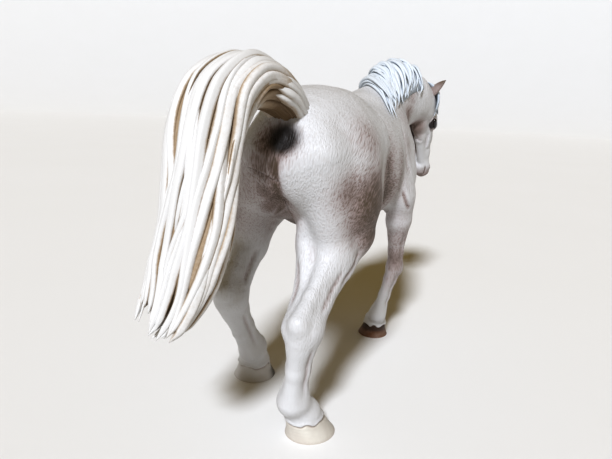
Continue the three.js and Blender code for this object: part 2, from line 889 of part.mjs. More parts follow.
function neckSkin(level) {
  const seam = flipped(planeOf(seamShares.head_and_neck));
  const throat = planeOf(throatShares);
  const loft = skinLoft({
    points: neckShares.slice(1, -1).map(place),
    field: within(within(skin, [seam], limbOverrun), [throat], sideOverrun),
    rings: neckRings,
    sides: neckSides,
    level,
  });
  return loft.subtract(beyond(throat, seamGap));
}

function headSkin(level) {
  const throat = planeOf(throatShares);
  const loft = skinLoft({
    points: headSpineShares.map(([along, face]) => headPoint(along, face, 0)),
    field: within(skin, [flipped(throat)], torsoOverrun),
    rings: headRings,
    sides: headSides,
    level,
    sideways: head.left,
  });
  return loft.intersect(beyond(throat));
}

// One ear: a pointed leaf, hollowed on the side that its opening faces

function ear(side) {
  const [alongShare, faceShare, sideShare] = earRootShares;
  const root = headPoint(alongShare, faceShare, sideShare * side);
  const pointing = headDirection(earPointingShares, side);
  const wide = new THREE.Vector3().crossVectors(headDirection(earOpeningShares, side), pointing);
  wide.normalize();
  const front = new THREE.Vector3().crossVectors(pointing, wide);
  const centres = earRingShares.map(([share]) => moved(root, [
    [pointing, share * earLength],
    [head.face, share * share * earCurlShare * earLength],
  ]));
  const rows = earRingShares.map(([, width, depth], i) => (
    Array.from({ length: earSides }, (_, j) => {
      const angle = (j / earSides) * Math.PI * 2;
      const hollow = 1 - Math.max(Math.sin(angle), 0) * earHollowShare;
      return moved(centres[i], [
        [wide, (Math.cos(angle) * width * earWidth) / 2],
        [front, (Math.sin(angle) * depth * earWidth * hollow) / 2],
      ]);
    })
  ));
  const tip = moved(centres.at(-1), [[pointing, earTipShare * earLength]]);
  return closedRows(rows, [centres[0], tip]);
}

function headAndNeck() {
  const seam = planeOf(seamShares.head_and_neck);
  let solid = neckSkin(0).add(headSkin(0)).add(ear(-1)).add(ear(1));
  solid = solid.intersect(beyond(seam, seamGap / 2)).add(pegOf('head_and_neck'));
  manePins(seamGap).forEach((pin) => {
    solid = solid.subtract(pin);
  });
  return meshOf('head_and_neck', solid, coatColour);
}

// A lock of hair: a flattened tube along a curve that swells and tapers to a point

function lock(points, width, thickness, sideways) {
  const curve = smoothCurve(points);
  const rows = Array.from({ length: lockRings }, (_, i) => {
    const share = (i + 0.5) / lockRings;
    const tangent = curve.getTangentAt(share);
    const wide = across(sideways, tangent);
    const high = new THREE.Vector3().crossVectors(tangent, wide);
    const size = Math.sin(Math.PI * (lockRootShare + (lockTipShare - lockRootShare) * share)) / 2;
    return ellipse(curve.getPointAt(share), wide, high, size * width, size * thickness, lockSides);
  });
  return closedRows(rows, [curve.getPointAt(0), curve.getPointAt(1)]);
}

// The neck's axis and a point over its skin: share along it, angle to the right, and lift

function neckAxis() {
  return smoothCurve(neckShares.map(place));
}

function crestFrame(axis, share) {
  const run = axis.getTangentAt(share);
  const right = new THREE.Vector3().crossVectors(run, up).normalize();
  return { run, right, rise: new THREE.Vector3().crossVectors(right, run) };
}

function overNeck(axis, share, angle, lift, back = 0) {
  const centre = moved(axis.getPointAt(share), [[forwards, -back * bodyLength]]);
  const { right, rise } = crestFrame(axis, share);
  const ray = rise.multiplyScalar(Math.cos(angle)).addScaledVector(right, Math.sin(angle));
  return moved(centre, [[ray, skinDistance(skin, centre, ray, 0, bodyLength) + lift]]);
}

// A solid's outer body, without the small closed pockets between its locks

function withoutPockets(solid) {
  return solid.decompose().reduce((best, body) => (body.volume() > best.volume() ? body : best));
}

// Mane: a ridge along the crest, locks combed over it to the right, and two pins below

function maneSwell(turn) {
  return Math.sin(Math.PI * (lockRootShare + (1 - 2 * lockRootShare) * (turn / maneLockCount)));
}

function maneLock(axis, share, turn) {
  const vary = maneVaryShare * Math.cos(turn * Math.PI);
  const reach = 1 - (turn / maneLockCount) * maneShorterShare + vary;
  const points = maneLockShares.map(([degrees, lift, back]) => overNeck(
    axis,
    share,
    THREE.MathUtils.degToRad(degrees * reach),
    lift * maneLockThickness * maneSwell(turn),
    back * (1 - turn / maneLockCount),
  ));
  return lock(points, maneLockWidth, maneLockThickness, axis.getTangentAt(share));
}

function maneShareAt(turn) {
  return maneStartShare + (maneEndShare - maneStartShare) * (turn / maneLockCount);
}

function maneRidge(axis) {
  const centres = [];
  const rows = [];
  for (let i = 0; i <= maneLockCount; i += 1) {
    const share = maneShareAt(i);
    const { right, rise } = crestFrame(axis, share);
    const size = maneSwell(i) * maneRidgeRadius;
    centres.push(overNeck(axis, share, 0, 0));
    rows.push(ellipse(centres[i], right, rise, -size, size, ridgeSides));
  }
  return closedRows(rows, [centres[0], centres.at(-1)]);
}

function manePins(growth) {
  const axis = neckAxis();
  return manePinShares.map((share) => {
    const top = overNeck(axis, share, 0, maneRidgeRadius / 2);
    const down = axis.getPointAt(share).sub(top).normalize();
    const length = maneRidgeRadius / 2 + manePinLength + growth;
    const radius = manePinWidth / 2 + growth;
    const pin = new THREE.CylinderGeometry(radius, radius, length, pinSides);
    pin.rotateX(Math.PI / 2);
    pin.translate(0, 0, length / 2);
    return solidFrom(pin, standingOn({ at: top, normal: down }, axis.getTangentAt(share)));
  });
}

function mane() {
  const axis = neckAxis();
  let solid = maneRidge(axis);
  for (let i = 0; i < maneLockCount; i += 1) {
    solid = solid.add(maneLock(axis, maneShareAt(i + 0.5), i));
  }
  [neckSkin, headSkin, torsoSkin].forEach((covered) => {
    solid = solid.subtract(covered(seamGap));
  });
  manePins(0).forEach((pin) => {
    solid = solid.add(pin);
  });
  return meshOf('mane', withoutPockets(solid), maneColour);
}

// Forelock: short locks from between the ears, down over the forehead

function forelock() {
  const locks = Array.from({ length: forelockCount }, (_, i) => {
    const side = (i - (forelockCount - 1) / 2) / forelockCount;
    const points = forelockShares.map(([along, face, spread]) => headPoint(along, face, spread * side));
    return lock(points, forelockWidth, forelockThickness, head.left);
  });
  const solid = locks
    .reduce((sum, strand) => sum.add(strand))
    .subtract(headSkin(seamGap))
    .subtract(neckSkin(seamGap));
  return meshOf('forelock', solid, maneColour);
}

// Tail: one flowing bundle whose section is a ring of round locks, with a peg for the dock

function tailSection(share) {
  const station = share * (tailShares.length - 1);
  const lower = Math.min(Math.floor(station), tailShares.length - 2);
  const [from, to] = [tailShares[lower], tailShares[lower + 1]];
  const between = (i) => THREE.MathUtils.lerp(from[i], to[i], station - lower);
  return { halfWidth: tailWidth * between(3), halfDepth: tailThickness * between(4) };
}

function tailRow(curve, share) {
  const { halfWidth, halfDepth } = tailSection(share);
  const tangent = curve.getTangent(share);
  const wide = across(lateral, tangent);
  const high = new THREE.Vector3().crossVectors(tangent, wide);
  const sides = tailLocks * pointsPerTailLock;
  const sway = tailWaveShare * share * Math.sin(share * Math.PI * 2 * tailWaves);
  return Array.from({ length: sides }, (_, j) => {
    const angle = (j / sides) * Math.PI * 2;
    const lobe = Math.abs(Math.cos((angle * tailLocks) / 2));
    const groove = 1 - tailGrooveShare * (1 - lobe);
    const vary = 1 + tailTipVaryShare * Math.sin(j);
    return moved(curve.getPoint(share), [
      [wide, Math.cos(angle + sway) * halfWidth * groove],
      [high, Math.sin(angle + sway) * halfDepth * groove],
      [tangent, share ** tailTipSharpness * tailTipLength * lobe * vary],
    ]);
  });
}

function tail() {
  const curve = smoothCurve(tailShares.map(place));
  const rows = Array.from({ length: tailRings + 1 }, (_, i) => tailRow(curve, i / tailRings));
  const solid = closedRows(rows, [curve.getPoint(0), curve.getPoint(1)])
    .subtract(torsoSkin(seamGap))
    .add(pegOf('tail'));
  return meshOf('tail', solid, tailColour);
}

// The figure stands on its three lowered hooves, with its middle over the origin

const figure = new THREE.Group();
figure.add(torso(), headAndNeck(), mane(), forelock(), tail(), ...legNames.map(leg));
const middle = new THREE.Box3().setFromObject(figure).getCenter(new THREE.Vector3());
figure.position.set(-middle.x, -middle.y, 0);
figure.updateMatrixWorld(true);

export default figure;
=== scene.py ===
"""Looks of a walking stallion figurine: sculpted coat, flowing tail, shaggy mane and paint.

Lengths are metres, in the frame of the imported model: the horse looks along +X, its left side
is +Y and it stands on z = 0. One smooth field of swellings describes the whole skin. Every
skin piece is a loft over that field, trimmed at the seam where it parts from the torso.
"""

import logging
import math
from dataclasses import dataclass, field
from enum import Enum, StrEnum
from typing import Callable, Sequence

import bmesh
import bpy
import numpy as np
from bpy.types import Material, Mesh, Object
from mathutils import Matrix, Vector


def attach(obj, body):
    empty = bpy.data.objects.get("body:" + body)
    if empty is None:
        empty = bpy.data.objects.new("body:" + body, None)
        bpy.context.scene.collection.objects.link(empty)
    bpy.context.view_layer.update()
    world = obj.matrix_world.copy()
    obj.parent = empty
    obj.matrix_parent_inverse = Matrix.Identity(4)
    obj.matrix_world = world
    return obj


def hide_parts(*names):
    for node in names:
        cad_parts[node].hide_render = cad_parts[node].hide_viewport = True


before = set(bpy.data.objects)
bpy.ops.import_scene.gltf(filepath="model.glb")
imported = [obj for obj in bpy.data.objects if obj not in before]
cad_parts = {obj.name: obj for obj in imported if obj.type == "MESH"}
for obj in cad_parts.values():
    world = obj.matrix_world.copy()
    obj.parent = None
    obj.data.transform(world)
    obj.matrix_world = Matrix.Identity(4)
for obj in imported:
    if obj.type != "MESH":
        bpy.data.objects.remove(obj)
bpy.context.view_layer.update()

Array = np.ndarray
Named = dict[str, Array]
Field = Callable[[Array], Array]
Row = Sequence[float]

log = logging.getLogger("horse")

UP = np.array([0.0, 0.0, 1.0])
LATERAL = np.array([0.0, 1.0, 0.0])

# Trunk stations: x, y, z place, then half depth and half width, rump to breast
TRUNK_SHARES = (
    (-0.475, 0, 0.8, 0.17, 0.17),
    (-0.42, 0, 0.797, 0.33, 0.34),
    (-0.32, 0, 0.787, 0.43, 0.435),
    (-0.2, 0, 0.78, 0.42, 0.425),
    (-0.075, 0, 0.757, 0.44, 0.405),
    (0.06, 0, 0.738, 0.46, 0.465),
    (0.19, 0, 0.752, 0.48, 0.435),
    (0.29, 0, 0.762, 0.45, 0.36),
    (0.38, 0, 0.75, 0.34, 0.27),
    (0.43, 0, 0.745, 0.22, 0.2),
)
TRUNK_SPINE_SHARES = ((-0.42, 0, 0.797), (-0.075, 0, 0.757), (0.19, 0, 0.752), (0.38, 0, 0.75))

# Muscles on the trunk, for one side: two ends, each written as a trunk station
TRUNK_MUSCLE_SHARES = (
    ((0.25, 0.14, 0.93, 0.1, 0.1), (0.4, 0.24, 0.78, 0.17, 0.14)),
    ((0.29, 0.26, 0.82, 0.2, 0.14), (0.2, 0.31, 0.64, 0.13, 0.12)),
    ((0.425, 0.13, 0.74, 0.13, 0.15), (0.37, 0.15, 0.62, 0.12, 0.13)),
    ((-0.18, 0.31, 0.86, 0.13, 0.15), (-0.32, 0.29, 0.79, 0.24, 0.2)),
    ((-0.165, 0.33, 0.81, 0.1, 0.12), (-0.195, 0.34, 0.64, 0.17, 0.13)),
    ((-0.25, 0.16, 0.9, 0.16, 0.2), (-0.4, 0.13, 0.86, 0.15, 0.17)),
)

# Neck stations from the shoulders to the poll, bending to the right
NECK_SHARES = (
    (0.24, 0, 0.82, 0.5, 0.5),
    (0.34, -0.03, 0.88, 0.45, 0.44),
    (0.425, -0.1, 0.938, 0.385, 0.37),
    (0.5, -0.19, 0.974, 0.33, 0.33),
    (0.56, -0.28, 0.982, 0.28, 0.29),
    (0.605, -0.34, 0.965, 0.24, 0.26),
)

# Places of the leg joints; the left foreleg is lifted
LEG_JOINT_SHARES = {
    "right_hind_leg": {
        "hip": (-0.33, -0.25, 0.78),
        "stifle": (-0.295, -0.31, 0.57),
        "hock": (-0.56, -0.25, 0.35),
        "fetlock": (-0.535, -0.18, 0.125),
        "sole": (-0.475, -0.25, 0),
    },
    "left_hind_leg": {
        "hip": (-0.31, 0.25, 0.78),
        "stifle": (-0.245, 0.5, 0.57),
        "hock": (-0.455, 0.46, 0.362),
        "fetlock": (-0.29, 0.47, 0.128),
        "sole": (-0.236, 0.515, 0),
    },
    "right_foreleg": {
        "shoulder": (0.4, -0.28, 0.76),
        "elbow": (0.195, -0.42, 0.605),
        "knee": (0.268, -0.38, 0.308),
        "fetlock": (0.225, -0.27, 0.116),
        "sole": (0.295, -0.19, 0),
    },
    "left_foreleg": {
        "shoulder": (0.41, 0.26, 0.765),
        "elbow": (0.2, 0.36, 0.605),
        "knee": (0.41, 0.33, 0.455),
        "fetlock": (0.345, 0.37, 0.255),
        "sole": (0.28, 0.38, 0.18),
    },
}

# How far the flesh on each leg's inner side reaches inwards
INWARD_SHARES = {
    "right_hind_leg": 1.3,
    "left_hind_leg": 0.12,
    "right_foreleg": 1,
    "left_foreleg": 1,
}

# The bones that the flesh follows, each as the joints at its ends
THIGH, GASKIN, SHANK = ("hip", "stifle"), ("stifle", "hock"), ("hock", "fetlock")
UPPER_ARM, FOREARM, CANNON = ("shoulder", "elbow"), ("elbow", "knee"), ("knee", "fetlock")
PASTERN = ("fetlock", "coronet")


def down(bone: tuple[str, str], *rows: Row) -> list[tuple]:
    """Rows of flesh down one bone, each with the bone put before its shares."""
    return [(bone, *row) for row in rows]


# Hind leg flesh down each bone: share of the way, offsets forwards and outwards, half depth
# and half width, all but the first share in leg thicknesses
HIND_FLESH_SHARES = {
    "thigh": down(THIGH, (0, 0, 0.1, 1.1, 0.76), (0.55, 0, 0.12, 1.12, 0.8), (1, 0.02, 0.1, 0.79, 0.62)),
    "gaskin": down(
        GASKIN, (0, 0, 0.05, 0.77, 0.6), (0.35, -0.02, 0, 0.63, 0.52), (0.72, 0.02, 0, 0.42, 0.38),
        (1, 0.08, 0, 0.48, 0.45),
    ),
    "shank": down(
        SHANK, (0, 0.08, 0, 0.48, 0.45), (0.22, 0, 0, 0.4, 0.36), (0.55, 0, 0, 0.32, 0.3),
        (0.85, 0, 0, 0.34, 0.32), (1, -0.02, 0, 0.44, 0.4),
    ),
    "pastern": down(PASTERN, (0, 0, 0, 0.42, 0.4), (0.6, 0, 0, 0.34, 0.35), (1, 0, 0, 0.42, 0.44)),
    "heel_string": down(
        GASKIN, (0.45, -0.34, 0, 0.28, 0.24), (0.78, -0.4, 0, 0.16, 0.17), (1.02, -0.4, 0, 0.24, 0.24),
    ),
    "heel_bone": down(GASKIN, (1.04, -0.34, 0, 0.23, 0.22)) + down(SHANK, (0.16, -0.14, 0, 0.26, 0.26)),
    "inner_thigh": down(THIGH, (0.75, -0.44, -0.58, 0.95, 0.36)) + down(
        GASKIN, (0.25, -0.22, -0.55, 0.64, 0.36), (0.62, 0, -0.32, 0.34, 0.28), (1, 0, -0.14, 0.34, 0.36),
    ),
    "tendon": down(
        SHANK, (0.12, -0.26, 0, 0.17, 0.19), (0.55, -0.3, 0, 0.12, 0.15), (0.98, -0.3, 0, 0.18, 0.22),
    ),
}

# Foreleg flesh, written as the hind leg's is
FORE_FLESH_SHARES = {
    "upper_arm": down(
        UPPER_ARM, (0, 0, 0, 0.75, 0.46), (0.5, 0, 0.04, 0.95, 0.56), (1, 0, 0, 0.72, 0.48),
    ),
    "forearm": down(
        FOREARM, (0, 0.2, 0, 0.82, 0.56), (0.3, 0.12, 0, 0.66, 0.5), (0.75, 0.02, 0, 0.34, 0.3),
        (1, 0.04, 0, 0.37, 0.33),
    ),
    "cannon": down(
        CANNON, (0, 0.04, 0, 0.37, 0.33), (0.25, 0, 0, 0.28, 0.26), (0.6, 0, 0, 0.24, 0.23),
        (0.85, 0, 0, 0.28, 0.26), (1, -0.02, 0, 0.36, 0.33),
    ),
    "pastern": down(PASTERN, (0, 0, 0, 0.34, 0.33), (0.6, 0, 0, 0.29, 0.3), (1, 0, 0, 0.42, 0.44)),
    "tendon": down(
        CANNON, (0.05, -0.24, 0, 0.15, 0.17), (0.55, -0.25, 0, 0.11, 0.13), (0.98, -0.24, 0, 0.16, 0.18),
    ),
}

# Hamstring: from the seat bone, a trunk station, down to the back of the gaskin
HAMSTRING_SEAT_SHARES = (-0.455, 0.19, 0.8, 0.17, 0.19)
HAMSTRING_END_SHARES = (GASKIN, 0.3, -0.34, 0, 0.42, 0.42)

# Skull stations: along the head, towards the face, half depth, half width
SKULL_SHARES = (
    (0.05, -0.13, 0.3, 0.42),
    (0.22, -0.08, 0.36, 0.46),
    (0.35, -0.06, 0.34, 0.44),
    (0.52, -0.06, 0.26, 0.33),
    (0.7, -0.1, 0.2, 0.27),
    (0.86, -0.15, 0.18, 0.28),
    (0.94, -0.18, 0.14, 0.25),
)

# Jaw, brow, cheek crest, nostril and chin of one side: two ends, each with its place along
# the head, towards the face and sideways, then half depth and half width
HEAD_FEATURE_SHARES = (
    ((0.12, -0.35, 0.24, 0.2, 0.17), (0.3, -0.43, 0.28, 0.26, 0.18)),
    ((0.3, -0.43, 0.28, 0.26, 0.18), (0.46, -0.37, 0.22, 0.16, 0.16)),
    ((0.46, -0.37, 0.22, 0.16, 0.16), (0.84, -0.23, 0.1, 0.1, 0.13)),
    ((0.28, 0.08, 0.38, 0.11, 0.14), (0.36, 0.05, 0.4, 0.11, 0.14)),
    ((0.38, -0.06, 0.38, 0.05, 0.08), (0.6, -0.13, 0.26, 0.05, 0.06)),
    ((0.89, -0.09, 0.18, 0.11, 0.12), (0.94, -0.12, 0.17, 0.1, 0.11)),
    ((0.86, -0.3, 0, 0.09, 0.18), (0.91, -0.29, 0, 0.08, 0.16)),
)
HEAD_SPINE_SHARES = ((0.11, -0.17), (0.35, -0.12), (0.7, -0.13), (0.87, -0.18))
EYE_SHARES = (0.325, -0.05, 0.43)

# Planes where the pieces part: a point and the direction out of the torso
SEAM_SHARES = {
    "right_hind_leg": ((-0.325, -0.31, 0.612), (-0.8, -0.5, -1)),
    "left_hind_leg": ((-0.275, 0.38, 0.584), (-0.8, 0.5, -1)),
    "right_foreleg": ((0.21, -0.4, 0.57), (0.1, -0.55, -1)),
    "left_foreleg": ((0.22, 0.33, 0.561), (0.2, 0.45, -1)),
    "head_and_neck": ((0.39, 0, 0.85), (1, 0, 0.8)),
}
THROAT_SHARES = ((0.6, -0.325, 0.965), (0.85, -0.2, -0.45))

# Ear: its root on the head, the way it points, and rings of height, width and depth
EAR_ROOT_SHARES = (0.01, 0.02, 0.26)
EAR_POINTING_SHARES = (-0.7, 0.3, 0.66)
EAR_OPENING_SHARES = (0, 1, 0.9)
EAR_RING_SHARES = ((-0.15, 0.8, 0.7), (0.1, 1, 0.8), (0.4, 1, 0.6), (0.7, 0.72, 0.42), (0.92, 0.3, 0.22))

# Tail path: x, y, z place, then half width and half thickness
TAIL_SHARES = (
    (-0.44, 0, 0.895, 0.18, 0.3),
    (-0.49, 0.01, 0.935, 0.25, 0.4),
    (-0.55, 0.07, 0.978, 0.34, 0.56),
    (-0.622, 0.15, 0.99, 0.42, 0.66),
    (-0.687, 0.23, 0.945, 0.49, 0.72),
    (-0.728, 0.26, 0.862, 0.51, 0.66),
    (-0.759, 0.24, 0.752, 0.5, 0.58),
    (-0.785, 0.22, 0.645, 0.5, 0.52),
    (-0.812, 0.25, 0.55, 0.48, 0.45),
    (-0.84, 0.3, 0.475, 0.4, 0.34),
)
TAIL_TIP_SHARES = (-0.88, 0.37, 0.408, 0.36, 0.2)


# Arrays of points and vectors


def unit(vectors: Array) -> Array:
    """Vectors scaled to length one."""
    return vectors / np.maximum(np.linalg.norm(vectors, axis=-1, keepdims=True), 1e-12)


def across(vectors: Array, axis: Array) -> Array:
    """The part of vectors square to an axis, scaled to length one."""
    return unit(vectors - (vectors * axis).sum(-1, keepdims=True) * axis)


def smooth_step(values: Array, low: float, high: float) -> Array:
    """Rises from 0 at low to 1 at high as 3t^2 - 2t^3."""
    t = np.clip((values - low) / (high - low), 0, 1)
    return t * t * (3 - 2 * t)


def bell(distance: Array, width: float) -> Array:
    """Falls from 1 as e^(-(distance / width)^2)."""
    return np.exp(-((distance / width) ** 2))


def full_turn(count: int) -> Array:
    """Angles spread evenly round a circle."""
    return np.arange(count) / count * 2 * math.pi


def soft_min(a: Array, b: Array, blend: float) -> Array:
    """The smaller value, lowered by (blend - |a - b|)^2 / (4 blend) where the two are alike."""
    overlap = np.maximum(blend - np.abs(a - b), 0) / blend
    return np.minimum(a, b) - overlap * overlap * blend / 4


def mixed(at: Array, places: Array, rows: Array) -> Array:
    """Rows of numbers at places between the given ones, each column mixed on its own."""
    return np.stack([np.interp(at, places, column) for column in rows.T], -1)


def turned(axis: Array, angle: float) -> Array:
    """The matrix that turns by an angle about an axis of length one (Rodrigues' formula)."""
    x, y, z = axis
    skew = np.array([[0, -z, y], [z, 0, -x], [-y, x, 0]])
    return np.eye(3) + math.sin(angle) * skew + (1 - math.cos(angle)) * skew @ skew


@dataclass
class SmoothCurve:
    """A centripetal Catmull-Rom curve through points, with its length as parameter."""

    points: Sequence[Row] | Array
    steps: int = 400

    def __post_init__(self) -> None:
        """Samples each span of the curve in steps, by the Barry-Goldman pyramid."""
        path = np.asarray(self.points, float)
        ends = np.vstack([2 * path[0] - path[1], path, 2 * path[-1] - path[-2]])
        gaps = np.sqrt(np.maximum(np.linalg.norm(np.diff(ends, axis=0), axis=1), 1e-12))
        spans = [self._span(ends[i : i + 4], gaps[i : i + 3]) for i in range(len(path) - 1)]
        self.samples = np.vstack([*spans, path[-1:]])
        lengths = np.linalg.norm(np.diff(self.samples, axis=0), axis=1)
        self.shares = np.concatenate([[0], np.cumsum(lengths)])
        self.length = self.shares[-1]
        self.shares /= self.length

    def _span(self, p: Array, gaps: Array) -> Array:
        """One span between the middle two of four points, by three rounds of mixing."""
        knots = np.concatenate([[0], np.cumsum(gaps)])
        t = np.linspace(knots[1], knots[2], self.steps, endpoint=False)[:, None]

        def between(a: Array, b: Array, low: float, high: float) -> Array:
            """Mixes two values as t runs from low to high."""
            return a + (b - a) * (t - low) / (high - low)

        first = [between(p[i], p[i + 1], knots[i], knots[i + 1]) for i in range(3)]
        second = [between(first[i], first[i + 1], knots[i], knots[i + 2]) for i in range(2)]
        return between(second[0], second[1], knots[1], knots[2])

    def at(self, shares: Array) -> Array:
        """Points at shares of the curve's length, run on straight past its ends."""
        shares = np.asarray(shares, float)
        inside = np.clip(shares, 0, 1)
        found = mixed(inside, self.shares, self.samples)
        past = (shares - inside) * self.length
        return found + past[..., None] * self.tangent(inside)

    def tangent(self, shares: Array, width: float = 0.004) -> Array:
        """Directions of the curve, from the difference over a short stretch."""
        shares = np.asarray(shares, float)
        low, high = np.clip(shares - width, 0, 1), np.clip(shares + width, 0, 1)
        return unit(mixed(high, self.shares, self.samples) - mixed(low, self.shares, self.samples))


@dataclass
class LatticeNoise:
    """Smooth random values: a box of random numbers, repeated, mixed between its corners."""

    seed: int
    size: int = 64

    def __post_init__(self) -> None:
        """Fills the box."""
        self.values = np.random.default_rng(self.seed).uniform(-1, 1, (self.size,) * 3)

    def at(self, points: Array, cell: float) -> Array:
        """Values at points: eased trilinear mix of the eight corners of the cell around each."""
        scaled = points / cell
        base = np.floor(scaled).astype(int)
        t = scaled - base
        t = t * t * (3 - 2 * t)
        total = np.zeros(points.shape[:-1])
        for corner in np.ndindex(2, 2, 2):
            index = (base + corner) % self.size
            weight = np.prod(np.where(np.array(corner) == 1, t, 1 - t), axis=-1)
            total += weight * self.values[index[..., 0], index[..., 1], index[..., 2]]
        return total


# The field that describes the skin


@dataclass
class Station:
    """A place on a swelling, with its half depth and half width."""

    at: Array
    depth: float
    width: float


@dataclass
class Swelling:
    """A tapered elliptical capsule between two stations, with its widths sideways."""

    start: Station
    end: Station
    sideways: Array

    def __post_init__(self) -> None:
        """Works out the swelling's axes."""
        span = self.end.at - self.start.at
        self.length = float(np.linalg.norm(span))
        self.axis = span / self.length
        self.wide = across(self.sideways, self.axis)
        self.deep = np.cross(self.wide, self.axis)

    def distance(self, points: Array) -> Array:
        """Nearly the distance to the swelling: k0 (k0 - 1) / k1 of its scaled coordinates."""
        offset = points - self.start.at
        run = offset @ self.axis
        share = np.clip(run / self.length, 0, 1)
        depth = self.start.depth + (self.end.depth - self.start.depth) * share
        width = self.start.width + (self.end.width - self.start.width) * share
        rounding = np.sqrt(depth * width)
        past = (run - share * self.length) / rounding
        high = (offset @ self.deep) / depth
        side = (offset @ self.wide) / width
        reach = np.sqrt(past**2 + high**2 + side**2)
        slope = np.sqrt((past / rounding) ** 2 + (high / depth) ** 2 + (side / width) ** 2)
        inside = -np.minimum(depth, width)
        return np.where(slope > 1e-9, reach * (reach - 1) / np.maximum(slope, 1e-9), inside)


@dataclass
class Form:
    """A run of swellings, with one blend towards its neighbours and an inner one of its own."""

    stations: list[Station]
    blend: float
    inner: float
    sideways: Array

    def __post_init__(self) -> None:
        """Joins the stations by swellings and finds a ball that holds them."""
        ends = zip(self.stations, self.stations[1:])
        self.parts = [Swelling(start, end, self.sideways) for start, end in ends]
        places = np.array([station.at for station in self.stations])
        low, high = places.min(0), places.max(0)
        largest = max(max(station.depth, station.width) for station in self.stations)
        self.centre = (low + high) / 2
        self.reach = np.linalg.norm(high - low) / 2 + largest

    def distance(self, points: Array) -> Array:
        """The swellings' distances, joined in order by the soft minimum."""
        value = self.parts[0].distance(points)
        for part in self.parts[1:]:
            value = soft_min(value, part.distance(points), self.inner)
        return value


@dataclass
class Skin:
    """The whole animal's skin, where the distance joined over all forms in order is zero."""

    forms: list[Form]

    def __call__(self, points: Array) -> Array:
        """The joined distance; a form too far off to matter is left out of a point's sum."""
        value = np.full(len(points), np.inf)
        for form in self.forms:
            nearest = np.linalg.norm(points - form.centre, axis=1) - form.reach
            near = np.flatnonzero(nearest <= value + form.blend)
            if near.size:
                value[near] = soft_min(value[near], form.distance(points[near]), form.blend)
        return value

    def normals(self, points: Array, step: float = 2e-4) -> Array:
        """Outward directions, from central differences of the field."""
        slopes = [self(points + step * axis) - self(points - step * axis) for axis in np.eye(3)]
        return unit(np.stack(slopes, -1))


@dataclass
class Plane:
    """A cutting plane, with its normal towards what is cut away."""

    at: Array
    normal: Array

    def height(self, points: Array) -> Array:
        """How far points lie past the plane."""
        return (points - self.at) @ self.normal

    def flipped(self) -> "Plane":
        """The same plane, facing the other way."""
        return Plane(self.at, -self.normal)


def within(skin: Field, planes: list[Plane], overrun: float) -> Field:
    """A field kept on the inner side of planes, with an overrun that a cut takes away."""

    def limited(points: Array) -> Array:
        """The larger of the field and each plane's height less the overrun."""
        heights = [plane.height(points) - overrun for plane in planes]
        return np.maximum.reduce([skin(points), *heights])

    return limited


def march(skin: Field, origins: Array, rays: Array, reach: float = 0.06, step: float = 0.0012) -> Array:
    """How far each ray runs to the skin: stepped outwards, then narrowed by halving.

    Args:
        skin: The field.
        origins: Where the rays start.
        rays: Their directions.
        reach: The furthest that a ray may run.
        step: The outward step.

    Returns:
        One distance for each ray.
    """
    far = np.full(len(origins), reach)
    going = np.arange(len(origins))
    distance = step
    while distance < reach and going.size:
        out = skin(origins[going] + rays[going] * distance) >= 0
        far[going[out]] = distance
        going = going[~out]
        distance += step
    near = far - step
    for _ in range(12):
        middle = (near + far) / 2
        out = skin(origins + rays * middle[:, None]) > 0
        far = np.where(out, middle, far)
        near = np.where(out, near, middle)
    return (near + far) / 2


# The animal's sizes and places


